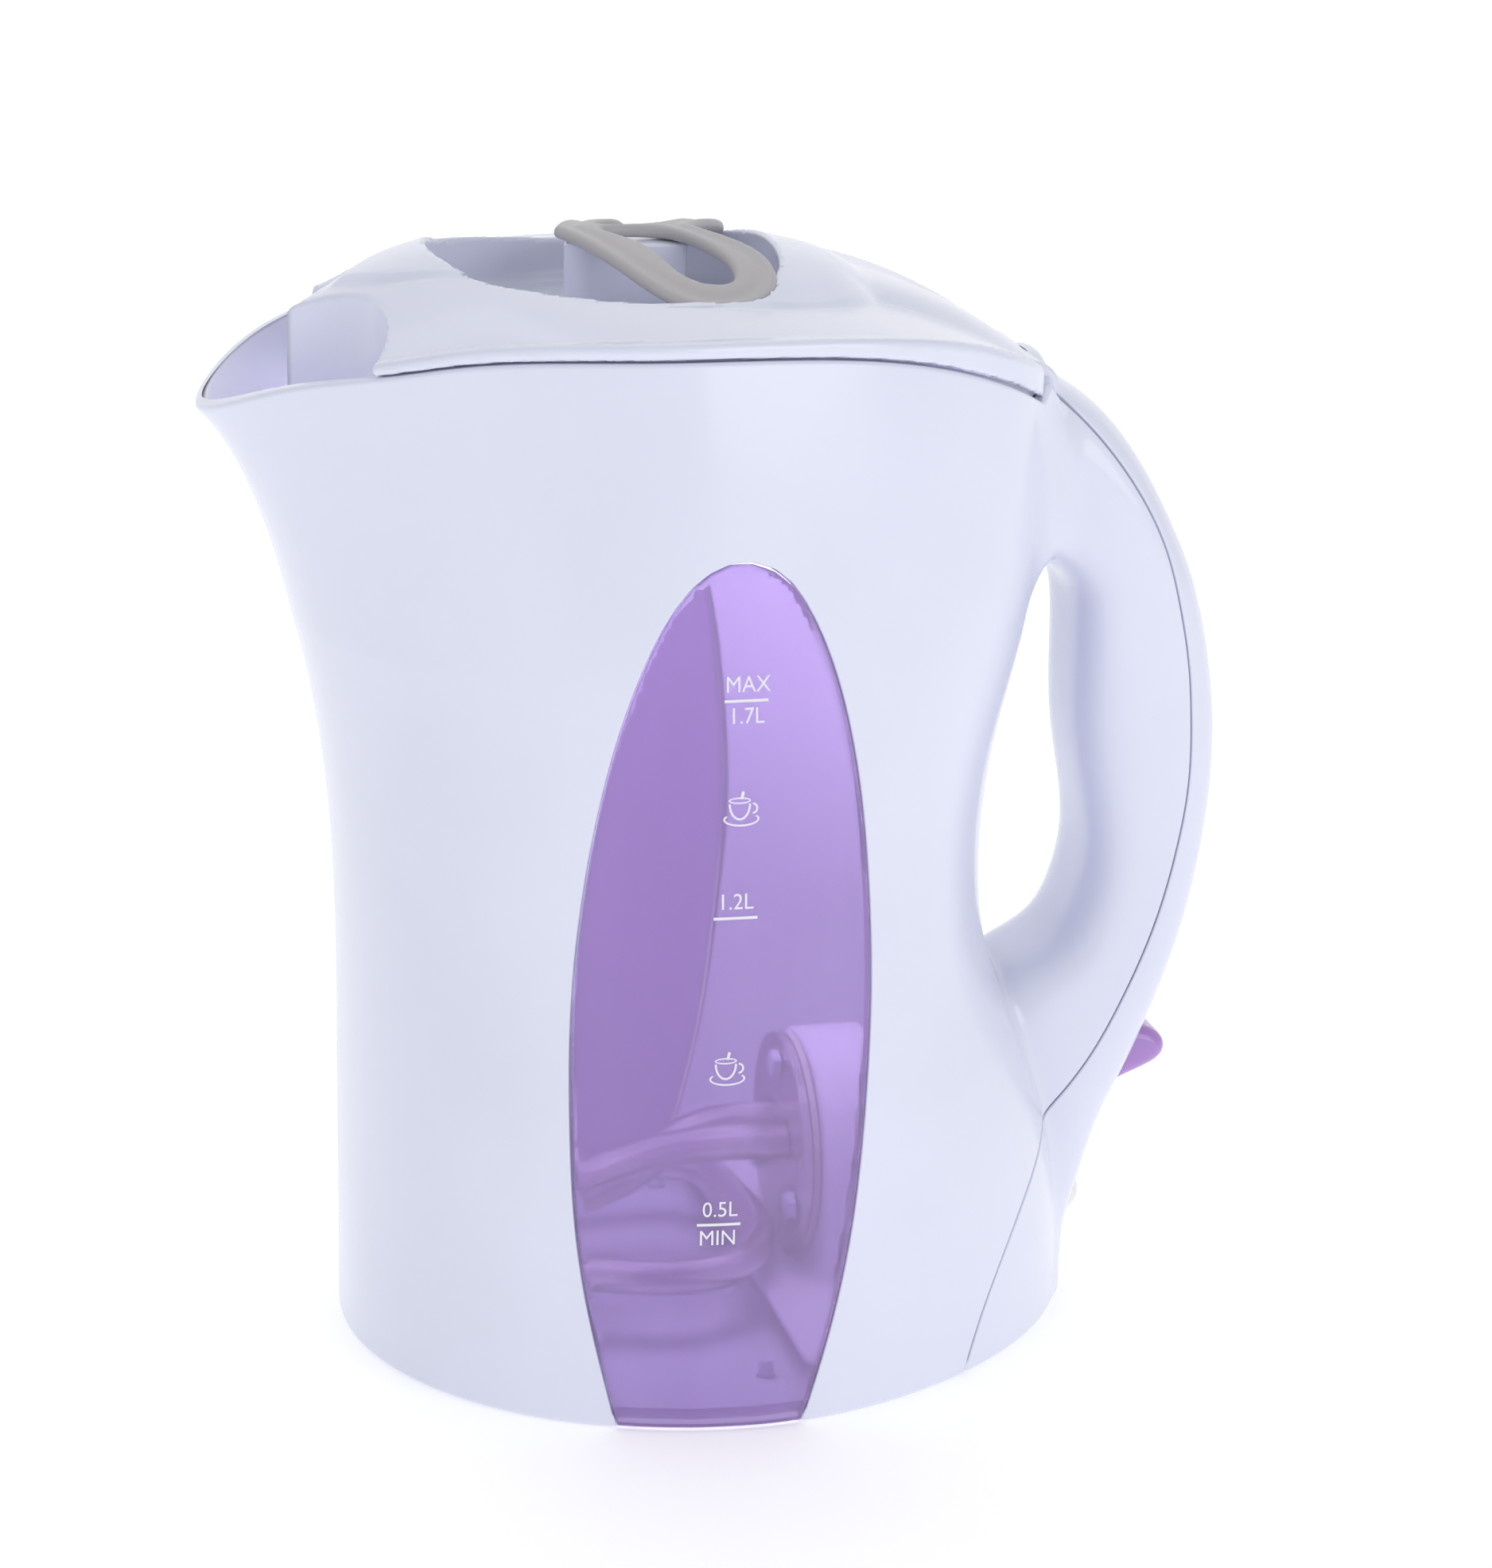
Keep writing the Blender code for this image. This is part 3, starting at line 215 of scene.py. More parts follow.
def relax(points, quads, rounds):
    """Even out the spacing of the points."""
    edges = np.vstack([quads[:, [k, (k + 1) % 4]] for k in range(4)])
    count = np.bincount(edges[:, 0], minlength=len(points)) + np.bincount(edges[:, 1], minlength=len(points))
    for _ in range(rounds):
        mean = np.zeros_like(points)
        for k in range(3):
            mean[:, k] = (np.bincount(edges[:, 0], points[edges[:, 1], k], minlength=len(points))
                          + np.bincount(edges[:, 1], points[edges[:, 0], k], minlength=len(points)))
        points = points + 0.5 * (mean / np.maximum(count, 1)[:, None] - points)
    return points


def drawn(field, x_range, y_reach, z_range, step):
    """Even quad mesh on the zero surface of a field that is the same on both sides of y = 0."""
    xs, zs = (np.arange(start, end + step, step) for start, end in (x_range, z_range))
    half = np.arange(step / 2, y_reach + step, step)
    grid = np.meshgrid(xs, half, zs, indexing="ij")
    values = field(*(g.ravel() for g in grid)).reshape(grid[0].shape)
    values = np.concatenate([values[:, ::-1], values], axis=1)
    points, quads = surface_net(values, (x_range[0], -half[-1], z_range[0]), step)
    points = settle(field, points, 2)
    points = relax(points, quads, 2)
    return settle(field, points, 2), quads


# ---- the solid forms as fields ---------------------------------------------------------------------
HANDLE_HUB = (12.0, 100.0)


def polar_curve(points):
    """Radius round the handle's hub as a function of the angle, through points (x, z)."""
    offsets = [(x - HANDLE_HUB[0], z - HANDLE_HUB[1]) for x, z in points]
    return cubic(sorted((math.atan2(v, u), math.hypot(u, v)) for u, v in offsets))


rear_wall, side_wall, rim_dip = cubic(REAR_WALL), cubic(SIDE_WALL), cubic(RIM_DIP)
seam_x = cubic([(z, x) for x, z in SEAM])
handle_outer = polar_curve([(row[0], row[1]) for row in HANDLE])
handle_inner = polar_curve([(row[2], row[3]) for row in HANDLE])
WINDOW_EDGE = smooth_line([(row[1], row[0]) for row in WINDOW] + [WINDOW_APEX]
                          + [(row[2], row[0]) for row in WINDOW[::-1]], 90)


def rim_z(x):
    """Height of the jug's rim, which falls towards the spout and the hinge."""
    x = np.asarray(x, float)
    front = 19.0 * (np.maximum(RIM_CREST_X - x, 0) / (RIM_CREST_X - SPOUT_X)) ** 3.2
    rear = RIM_REAR_DROP * (np.maximum(x - RIM_CREST_X, 0) / (RIM_REAR_X - RIM_CREST_X)) ** 3.2
    return RIM_TOP - np.minimum(front, 27.0) - np.minimum(rear, 36.0)


def rim_edge(x):
    """Height of the jug's upper edge; behind the hinge it follows the cover instead."""
    x = np.asarray(x, float)
    edge = rim_z(np.minimum(x, RIM_END_X)) - rim_dip(x)
    return edge + np.maximum(x - RIM_END_X, 0) * RIM_END_RISE


def level(x, z):
    """Height of the level section of the jug that the place belongs to."""
    drop = (rim_z(x) - RIM_TOP) / (RIM_TOP - ARCH_START)
    return np.where(z > ARCH_START, (z + ARCH_START * drop) / (1 + drop), z)


def jug(x, y, z):
    """The jug's own outer form without the handle."""
    h = level(x, z)
    share = np.clip((h - ARCH_START) / (RIM_TOP - ARCH_START), 0, 1.3)
    low = np.clip(1 - h / 60, 0, 1.1)
    middle = -8 + 3 * low - 7 * share
    rise = np.maximum(h - 19 * share - FLARE_START, 0) / (TIP_Z - FLARE_START)
    front = FRONT_X + (SPOUT_X - FRONT_X) * rise ** 3
    u = x - middle
    reach = np.where(u < 0, middle - front, rear_wall(h) - middle)
    power = np.where(u < 0, 2.05 - 0.3 * share, 2.0 - 0.25 * low + 0.2 * share)
    g = ((np.abs(u) / reach + 1e-9) ** power + (np.abs(y) / side_wall(h) + 1e-9) ** power) ** (1 / power)
    return np.hypot(u, y) * (1 - 1 / g)


def handle(x, y, z):
    """The handle's round bar, with its foot that runs down to the base."""
    u, v = x - HANDLE_HUB[0], z - HANDLE_HUB[1]
    angle, r = np.arctan2(v, u), np.hypot(u, v) + 1e-6
    beyond, within = handle_outer(angle), handle_inner(angle)
    step = 0.01
    lean_out = (handle_outer(angle + step) - handle_outer(angle - step)) / (2 * step * r)
    lean_in = (handle_inner(angle + step) - handle_inner(angle - step)) / (2 * step * r)
    half = (beyond - within) / 2
    across = r - (beyond + within) / 2
    lean = np.where(across > 0, lean_out, lean_in)
    power = 1 / 0.3
    thick, wide = np.abs(across) / half + 1e-9, np.abs(y) / HANDLE_HALF_WIDTH + 1e-9
    q = (thick ** power + wide ** power) ** (1 / power)
    share = across ** 2 / (across ** 2 + y ** 2 + 1e-6)
    bar = np.hypot(across, y) * (1 - 1 / q) / np.sqrt(1 + lean ** 2 * share)
    return np.maximum(bar, HANDLE_START_X - x)


def skin(x, y, z):
    """Whole outer form: jug and handle, flowing into each other."""
    width = 2.5 + 8.5 * smooth_step((np.abs(y) - 12.0) / 8.0) * smooth_step((z - 50) / 45)
    return either(jug(x, y, z), handle(x, y, z), width)


def seam(x, y, z):
    """Positive behind the seam between the jug and the handle's cover."""
    lean = seam_x(z + 0.5) - seam_x(z - 0.5)
    return (x - seam_x(z)) / np.sqrt(1 + lean ** 2)


def rim(x, y, z):
    """Positive above the rim."""
    lean = rim_edge(x + 0.5) - rim_edge(x - 0.5)
    return (z - rim_edge(x)) / np.sqrt(1 + lean ** 2)


def window_edge(x, y, z):
    """Negative inside the outline of the window."""
    return outline_distance(x, z, WINDOW_EDGE)


def hollow(x, y, z):
    """Room for the water, with the arched pocket of the element's head left standing."""
    room = both(jug(x, y, z) + WALL, FLOOR_TOP - z, 7.0)
    arch = np.where(z > POCKET_TOP - POCKET_HALF,
                    np.hypot(y, z - POCKET_TOP + POCKET_HALF), np.abs(y)) - POCKET_HALF
    return both(room, -both(arch, POCKET_X - x, 2.0), 3.0)


# ---- sheets cut out of a surface -------------------------------------------------------------------
def pulled(points, field, limit):
    """Move points onto the surface and onto the line where the limit is zero."""
    for _ in range(4):
        g = slope(field, points)
        g /= np.maximum(np.linalg.norm(g, axis=1), 0.2)[:, None]
        s = slope(limit, points)
        s -= (s * g).sum(1)[:, None] * g
        size = np.maximum((s * s).sum(1), 0.1)
        move = -(limit(*points.T) / size)[:, None] * s
        points = points + np.clip(move, -0.8, 0.8)
        points = settle(field, points, 1)
    return points


def crossing(points, field, limit, i, j):
    """Places on the edges i-j where the limit is zero, on the surface."""
    a, b = points[i], points[j]
    va, vb = limit(*a.T), limit(*b.T)
    t = np.clip(va / (va - vb + 1e-12), 0, 1)
    return pulled(a + (b - a) * t[:, None], field, limit)


def cut_face(face, value, cut_edges, count):
    """The part of a face at or below zero; cut_edges numbers its new corners from count on."""
    loop = []
    for k, a in enumerate(face):
        b = face[(k + 1) % len(face)]
        if value[a] <= 0:
            loop.append(a)
        if value[a] * value[b] < 0:
            key = (min(a, b), max(a, b))
            loop.append(cut_edges.setdefault(key, count + len(cut_edges)))
    return loop


def trimmed(points, faces, field, limit, step):
    """The part of a mesh on a field where the limit is negative, with a clean edge."""
    value = limit(*points.T)
    near = np.abs(value) < 0.3 * step
    if near.any():
        moved = pulled(points[near], field, limit)
        close = np.linalg.norm(moved - points[near], axis=1) < 0.6 * step
        index = np.flatnonzero(near)[close]
        points = points.copy()
        points[index] = moved[close]
        value[index] = 0.0
    whole = [tuple(face) for face in faces if max(value[k] for k in face) <= 0]
    kept = [face for face in whole if min(value[k] for k in face) < 0]
    cut_edges = {}
    for face in faces:
        signs = [value[k] for k in face]
        if max(signs) > 0 > min(signs):
            loop = cut_face(face, value, cut_edges, len(points))
            if len(loop) > 2:
                kept.append(tuple(loop))
    if cut_edges:
        ends = np.array(list(cut_edges))
        points = np.vstack([points, crossing(points, field, limit, ends[:, 0], ends[:, 1])])
    return compact(points, kept)


def compact(points, faces):
    """Drop the points no face uses."""
    used = sorted({k for face in faces for k in face})
    number = {k: i for i, k in enumerate(used)}
    return points[used], [tuple(number[k] for k in face) for face in faces]


def open_edges(faces):
    """Directed edges with a face on one side only."""
    edges = {}
    for face in faces:
        for k, a in enumerate(face):
            b = face[(k + 1) % len(face)]
            if (b, a) in edges:
                del edges[(b, a)]
            else:
                edges[(a, b)] = True
    return list(edges)


def walled(points, faces, normals, radius, depth):
    """Round the sheet's open edges over and turn them inwards; radius is a function of points."""
    edges = open_edges(faces)
    rim_points = sorted({k for edge in edges for k in edge})
    order = {k: i for i, k in enumerate(rim_points)}
    base, up = points[rim_points], normals[rim_points]
    away = np.zeros_like(base)
    for a, b in edges:
        side = np.cross(points[b] - points[a], normals[a])
        length = np.linalg.norm(side)
        if length > 1e-9:
            away[order[a]] += side / length
            away[order[b]] += side / length
    away -= (away * up).sum(1)[:, None] * up
    away /= np.maximum(np.linalg.norm(away, axis=1), 1e-6)[:, None]
    for _ in range(2):
        total = away.copy()
        for a, b in edges:
            total[order[a]] += away[order[b]]
            total[order[b]] += away[order[a]]
        away = total / np.maximum(np.linalg.norm(total, axis=1), 1e-6)[:, None]
    r = radius(base)[:, None]
    rings, ring_normals = [base], []
    for degrees in (30, 60, 90):
        a = math.radians(degrees)
        rings.append(base + r * (math.sin(a) * away - (1 - math.cos(a)) * up))
        ring_normals.append(math.sin(a) * away + math.cos(a) * up)
    rings.append(base + r * away - depth * up)
    ring_normals.append(away)
    count, new_faces = len(points), []
    size = len(rim_points)
    for a, b in edges:
        i, j = order[a], order[b]
        low = (a, b)
        for k in range(len(rings) - 1):
            high = (count + k * size + i, count + k * size + j)
            new_faces.append((low[1], low[0], high[0], high[1]))
            low = high
    points = np.vstack([points] + rings[1:])
    normals = np.vstack([normals] + ring_normals)
    return points, list(faces) + new_faces, normals


def thickened(points, faces, normals, radius, depth):
    """Closed pane: the sheet, its rounded edge and its inner side."""
    outer = len(points)
    points, faces, normals = walled(points, faces, normals, lambda p: np.full(len(p), radius), depth)
    sheet = [face for face in faces if max(face) < outer]
    rim_points = sorted({k for edge in open_edges(sheet) for k in edge})
    last = len(points) - len(rim_points)
    under = {k: last + i for i, k in enumerate(rim_points)}
    extra, extra_normals = [], []
    for k in range(outer):
        if k not in under:
            under[k] = len(points) + len(extra)
            extra.append(points[k] - depth * normals[k])
            extra_normals.append(-normals[k])
    points = np.vstack([points, extra])
    normals = np.vstack([normals, extra_normals])
    back = [tuple(under[k] for k in face[::-1]) for face in sheet]
    return points, list(faces) + back, normals


def unit(vectors):
    return vectors / np.maximum(np.linalg.norm(vectors, axis=1), 1e-9)[:, None]


def mesh_object(name, points, faces, normals=None, material=None):
    """Object in metres from points in millimetres."""
    mesh = bpy.data.meshes.new(name)
    mesh.from_pydata([tuple(p) for p in (points * MM).tolist()], [], [list(face) for face in faces])
    mesh.validate()
    mesh.polygons.foreach_set("use_smooth", [True] * len(mesh.polygons))
    if normals is not None and len(mesh.vertices) == len(normals):
        mesh.normals_split_custom_set_from_vertices(unit(normals).tolist())
    obj = bpy.data.objects.new(name, mesh)
    bpy.context.scene.collection.objects.link(obj)
    if material:
        mesh.materials.append(material)
    return obj


def piece(obj, body, slot, *nodes):
    """Tie a piece to its body and hide the CAD nodes it stands for; the slot argument is not used."""
    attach(obj, body)
    if nodes:
        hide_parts(*nodes)
    return obj


# ---- lid and grip fields ---------------------------------------------------------------------------
# heights above the rim's arch, as (x, height): middle line, side surface, top of the flange
LID_CROWN = [(-100, 7.0), (-92, 8), (-75, 9.2), (-60, 11), (-45, 12.4), (-17, 12.8), (0, 12.6),
             (13, 10.8), (24, 8), (28, 5.2), (40, 4.4), (66, 4.4)]
SIDE_CROWN = [(-100, 6.8), (-75, 7.8), (-60, 9.9), (-50, 10.0), (-42, 9.0), (-28, 7.2), (-13.6, 6),
              (0, 5), (15, 4.5), (40, 4.3), (66, 4.2)]
FLANGE = [(-100, 2.2), (-75, 2.5), (-60, 2.9), (-10, 3.4), (20, 4.2), (45, 6.0), (66, 6.4)]
# outlines in plan as (x, y): raised pod, grip, hole in the grip, finger pocket
POD = [(-75, 0), (-68, -9), (-57, -16.5), (-42, -27.5), (-28.6, -32), (-13.6, -34.5), (0.9, -34.8),
       (12, -31.5), (20, -26), (26, -18), (29, -9), (29.8, 0)]
GRIP_OUTER = [(-33, 0), (-31, -6), (-26, -18), (-19, -30), (-13, -35), (-6, -36), (1, -33),
              (4.5, -26), (2.5, -15), (-4.5, -4), (-6.5, 0)]
GRIP_HOLE = [(-24, -2.2), (-20, -10), (-15.5, -20), (-10, -28), (-5, -28), (-3.5, -22),
             (-6, -14), (-10.5, -5.5), (-14, -2.2)]
FINGER_POCKET = [(-57.0, 0), (-56.5, -6), (-55.0, -12.5), (-51.6, -19.8), (-42.4, -26.8), (-28.6, -31.2),
                 (-13.6, -32.8), (-4, -31), (3, -25), (7, -15), (8, 0)]
FINGER_POCKET_FLOOR = 202.5
GRIP_SPREAD = 0.94             # the grip is this much narrower than its outline
SCOOP_X, SCOOP_Y, SCOOP_R = -92.0, 22.0, 23.5          # upright cuts on both sides of the bow
LID_FRONT = -86.0
BOW_REAR_X, BOW_BOTTOM, CHANNEL_REAR_X = -62.0, 186.0, -59.5
BOWL_THICK, BOWL_TOP = 2.2, 210.5
ROOT_RADIUS, ROOT_HALF, KNUCKLE_HALF = 4.4, 15.5, 9.2
WEB_HALF, WEB_FRONT_X, WEB_REAR_X, WEB_BOTTOM = 4.0, -31.0, -8.0, 200.5
GRIP_CREST_X, GRIP_CREST_Z, GRIP_FALL = -30, 219.6, 0.0074
GRIP_THICK, SEAT_DEPTH = 2.6, 2.9
MOUTH_X, MOUTH_REAR_X, MOUTH_HALF = -15.0, 77.5, 56.0


def mirrored_outline(half, count):
    """Closed smooth outline from its near half, which starts and ends on the middle line."""
    near = smooth_line(half, count)
    return np.vstack([near, near[-2:0:-1] * (1, -1)])


lid_crown, side_crown, flange = cubic(LID_CROWN), cubic(SIDE_CROWN), cubic(FLANGE)
POD_EDGE = mirrored_outline(POD, 40)
GRIP_EDGE = mirrored_outline(GRIP_OUTER, 50)
FINGER_POCKET_EDGE = mirrored_outline(FINGER_POCKET, 40)
HOLE_EDGE = smooth_line(GRIP_HOLE, 50, closed=True)


def rim_reach(x):
    """Place along the mouth, the mouth's reach to that side, and how square it is there."""
    u = x - MOUTH_X
    return u, np.where(u < 0, MOUTH_X - SPOUT_X, MOUTH_REAR_X), np.where(u < 0, 1.75, 2.2)


def rim_plan(x, y):
    """Distance in plan from the outline of the jug's mouth, negative inside it."""
    u, reach, power = rim_reach(x)
    g = ((np.abs(u) / reach + 1e-9) ** power + (np.abs(y) / MOUTH_HALF + 1e-9) ** power) ** (1 / power)
    return np.hypot(u, y) * (1 - 1 / g)


def rim_half(x):
    """Half width of the mouth at a place along the jug."""
    u, reach, power = rim_reach(x)
    return MOUTH_HALF * np.maximum(1 - (np.abs(u) / reach) ** power, 0.01) ** (1 / power)


def grip_top(x, y):
    """Upper face of the grip: level along the lid, falling to both sides."""
    return GRIP_CREST_Z - 0.0005 * (x - GRIP_CREST_X) ** 2 - GRIP_FALL * y * y


def grip_form(x, y, z):
    """Loop of the grip, with a soft groove along its upper face."""
    y = y / GRIP_SPREAD
    edge = outline_distance(x, y, GRIP_EDGE)
    hole = outline_distance(x, -np.abs(y), HOLE_EDGE)
    groove = 0.45 * np.exp(-((edge + 3.1) / 1.3) ** 2)
    top = z - grip_top(x, y) + groove
    slope_y = np.sqrt(1 + (2 * GRIP_FALL * y) ** 2)
    plate = both(top / slope_y, (grip_top(x, y) - GRIP_THICK - z) / slope_y, 1.2)
    return both(plate, np.maximum(edge, -hole), 1.2)


def lid_slab(x, y, z):
    """Lid above the rim: side surface, raised pod round the pocket, strip at the rear."""
    arch, edge = rim_z(x), rim_edge(x)
    share = np.minimum(np.abs(y) / rim_half(x) / 0.93, 1)
    low = edge - arch + flange(x)
    bow = 1.6 + 0.4 * smooth_step((x + 66) / 20)
    shell = (z - arch - low - (side_crown(x) - low) * (1 - share ** bow)) * 0.92
    pod_top = (z - arch - lid_crown(x) + 0.0072 * y * y) * 0.92
    pod = both(pod_top, outline_distance(x, y, POD_EDGE), 2.2)
    wide = np.minimum(np.abs(y) / 17.9, 0.995)
    drop = 17.0 * (1 - (1 - wide ** 3.33) ** 0.3)
    strip = both((z - arch - 7.4 + drop) * 0.8, np.maximum(np.abs(y) - 17.6, 20.0 - x), 1.0)
    top = either(either(shell, pod, 1.6), strip, 3.0)
    slab = both(top, rim_plan(x, y) - 0.1, 1.3)
    return both(slab, (edge + 0.3 - z) * 0.92, 0.8)


def lid_form(x, y, z):
    """Outer part of the lid: slab, pocket, bow with its two scoops, and hinge root."""
    slab = lid_slab(x, y, z)
    pocket = outline_distance(x, y, FINGER_POCKET_EDGE)
    bow = np.maximum(np.maximum(rim_plan(x, y) + 3.1, x - BOW_REAR_X),
                     np.maximum(BOW_BOTTOM - z, z - rim_edge(x) - 1.5))
    form = np.minimum(slab, bow)
    bowl = np.maximum(pocket - BOWL_THICK, np.maximum(FINGER_POCKET_FLOOR - BOWL_THICK - z, z - BOWL_TOP))
    form = np.minimum(form, bowl)
    root = both(np.hypot(x - HINGE_X, z - HINGE_Z) - ROOT_RADIUS, np.abs(y) - ROOT_HALF, 1.0)
    form = either(both(form, x - HINGE_X, 1.8), root, 2.5)
    form = both(form, -both(pocket, FINGER_POCKET_FLOOR - z, 3.0), 1.0)
    web = both(np.abs(y) - WEB_HALF, WEB_FRONT_X - x, WEB_HALF)
    web = np.maximum(web, np.maximum(x - WEB_REAR_X, WEB_BOTTOM - z))
    form = np.minimum(form, np.maximum(web, z - grip_top(x, y) + 1.0))
    scoop = np.hypot(x - SCOOP_X, np.abs(y) - SCOOP_Y) - SCOOP_R
    form = both(form, -scoop, 0.7)
    form = both(form, LID_FRONT - x, 0.7)
    channel = np.maximum(np.maximum(rim_plan(x, y) + 5.5, x - CHANNEL_REAR_X),
                         np.maximum(2.4 - scoop, z - rim_z(x) + 1.0))
    form = both(form, -channel, 0.3)
    seat = outline_distance(x, y / GRIP_SPREAD, GRIP_EDGE) + 0.5
    form = both(form, -np.maximum(seat, grip_top(x, y) - SEAT_DEPTH - z), 0.4)
    knuckle = np.maximum(np.abs(y) - KNUCKLE_HALF, np.maximum(53.0 - x, z - 190.8))
    return both(form, -knuckle, 0.5)


# side view of the thumb lever, as (x, z)
LEVER = [(72, 43.0), (78.0, 40.6), (84.5, 42.9), (90.3, 45.4), (92.6, 47.2), (93.2, 49.2), (92.4, 51.2),
         (90.0, 52.9), (86.0, 54.0), (80.0, 54.6), (72, 52.8)]
LEVER_HALF = 7.4
LEVER_EDGE = smooth_line(LEVER, 60, closed=True)


def lever_form(x, y, z):
    """Thumb wedge with its hub."""
    side = outline_distance(x, z, LEVER_EDGE)
    wedge = both(side, np.abs(y) - LEVER_HALF, 3.0)
    hub = both(np.hypot(x - SWITCH_X, z - SWITCH_Z) - 3.5, np.abs(y) - LEVER_HALF, 0.5)
    tail = np.maximum(np.maximum(np.abs(z - 48.6) - 1.4, 60.0 - x), np.maximum(x - 75.0, np.abs(y) - 3.5))
    return np.minimum(either(wedge, hub, 1.0), tail)


# ---- materials -------------------------------------------------------------------------------------
def node_material(name):
    """New material with its shader and the piece's own coordinates."""
    material = bpy.data.materials.new(name)
    material.use_nodes = True
    nodes, links = material.node_tree.nodes, material.node_tree.links
    shader = nodes["Principled BSDF"]
    place = nodes.new("ShaderNodeTexCoord").outputs["Object"]
    return material, nodes, links, shader, place


def noise(nodes, links, place, scale, detail=3.0, stretch=(1, 1, 1)):
    mapping = nodes.new("ShaderNodeMapping")
    mapping.inputs["Scale"].default_value = stretch
    links.new(place, mapping.inputs["Vector"])
    texture = nodes.new("ShaderNodeTexNoise")
    texture.inputs["Scale"].default_value = scale
    texture.inputs["Detail"].default_value = detail
    links.new(mapping.outputs["Vector"], texture.inputs["Vector"])
    return texture.outputs["Fac"]


def ramp(nodes, links, factor, low, high, start=0.3, end=0.7):
    mix = nodes.new("ShaderNodeValToRGB")
    mix.color_ramp.elements[0].position, mix.color_ramp.elements[1].position = start, end
    mix.color_ramp.elements[0].color = (*low, 1)
    mix.color_ramp.elements[1].color = (*high, 1)
    links.new(factor, mix.inputs["Fac"])
    return mix.outputs["Color"]


def spread(nodes, links, factor, low, high):
    scale = nodes.new("ShaderNodeMapRange")
    scale.inputs["To Min"].default_value = low
    scale.inputs["To Max"].default_value = high
    links.new(factor, scale.inputs["Value"])
    return scale.outputs["Result"]


def bump(nodes, links, shader, height, strength, distance):
    node = nodes.new("ShaderNodeBump")
    node.inputs["Strength"].default_value = strength
    node.inputs["Distance"].default_value = distance
    links.new(height, node.inputs["Height"])
    links.new(node.outputs["Normal"], shader.inputs["Normal"])


def plastic(name, colour, roughness, grain=900.0, relief=0.00002, coat=0.0, blotch=0.03, soft=0.0):
    """Moulded plastic: faint cloudy colour, uneven gloss and a fine skin."""
    material, nodes, links, shader, place = node_material(name)
    cloud = noise(nodes, links, place, 18.0, 4.0)
    low = tuple(c * (1 - blotch) for c in colour)
    high = tuple(min(c * (1 + blotch * 0.6), 1.0) for c in colour)
    links.new(ramp(nodes, links, cloud, low, high), shader.inputs["Base Color"])
    skin_noise = noise(nodes, links, place, grain, 2.0)
    links.new(spread(nodes, links, skin_noise, roughness * 0.85, roughness * 1.2), shader.inputs["Roughness"])
    bump(nodes, links, shader, skin_noise, 0.35, relief)
    shader.inputs["Coat Weight"].default_value = coat
    shader.inputs["Coat Roughness"].default_value = 0.08
    if soft:
        shader.inputs["Subsurface Weight"].default_value = soft
        shader.inputs["Subsurface Radius"].default_value = (0.004, 0.004, 0.005)
        shader.inputs["Subsurface Scale"].default_value = 0.5
    return material


def metal(name, colour, roughness, stretch=(1, 1, 1), scale=600.0, stain=0.25):
    """Drawn or turned metal with fine lines and slight staining."""
    material, nodes, links, shader, place = node_material(name)
    lines = noise(nodes, links, place, scale, 3.0, stretch)
    cloud = noise(nodes, links, place, 60.0, 4.0)
    low = tuple(c * (1 - stain) for c in colour)
    links.new(ramp(nodes, links, cloud, low, colour), shader.inputs["Base Color"])
    links.new(spread(nodes, links, lines, roughness * 0.7, roughness * 1.4), shader.inputs["Roughness"])
    bump(nodes, links, shader, lines, 0.3, 0.00004)
    shader.inputs["Metallic"].default_value = 1.0
    return material


def tinted_clear(name, colour, cloudy, roughness, weight):
    """Clear tinted plastic, a little milky, with faint flow lines from moulding."""
    material, nodes, links, shader, place = node_material(name)
    flow = noise(nodes, links, place, 30.0, 3.0, (1.0, 1.0, 0.15))
    links.new(ramp(nodes, links, flow, colour, cloudy), shader.inputs["Base Color"])
    fine = noise(nodes, links, place, 500.0, 2.0)
    links.new(spread(nodes, links, fine, roughness * 0.8, roughness * 1.3), shader.inputs["Roughness"])
    bump(nodes, links, shader, flow, 0.12, 0.0002)
    shader.inputs["Transmission Weight"].default_value = weight
    shader.inputs["IOR"].default_value = 1.15
    return material


WHITE = plastic("white_gloss", (0.745, 0.765, 0.90), 0.22, coat=0.25)
LINER = plastic("white_inside", (0.80, 0.80, 0.90), 0.35)
VIOLET = tinted_clear("violet_clear", (0.54, 0.40, 0.72), (0.59, 0.45, 0.76), 0.08, 0.66)
LEVER_VIOLET = plastic("violet_gloss", (0.42, 0.24, 0.60), 0.22, coat=0.3, blotch=0.08, soft=0.25)
GREY = plastic("grey_soft", (0.47, 0.455, 0.465), 0.42, grain=1400.0, relief=0.00005)
MILKY = plastic("milky_lens", (0.82, 0.80, 0.78), 0.18, coat=0.4, soft=0.5)
DARK = plastic("dark_plastic", (0.035, 0.035, 0.04), 0.5, grain=700.0, relief=0.00006, blotch=0.2)
RUBBER = plastic("rubber", (0.17, 0.17, 0.175), 0.75, grain=500.0, relief=0.0001, blotch=0.15)
SILICONE = plastic("silicone", (0.62, 0.60, 0.56), 0.5, grain=400.0, relief=0.00005)
TUBE = plastic("tube", (0.70, 0.68, 0.62), 0.35, soft=0.3)
INK = plastic("print", (0.83, 0.83, 0.88), 0.5, grain=2500.0, relief=0.00001)
STEEL = metal("steel", (0.62, 0.61, 0.60), 0.28, (1, 1, 8))
SHEATH = metal("element_sheath", (0.86, 0.82, 0.80), 0.32, (1, 1, 1), 900.0)
BRASS = metal("brass", (0.72, 0.52, 0.24), 0.32, (6, 1, 1))
BIMETAL = metal("bimetal", (0.58, 0.56, 0.50), 0.35, (1, 6, 1))
LAMP = tinted_clear("lamp_glass", (0.95, 0.62, 0.45), (0.95, 0.70, 0.55), 0.08, 0.7)

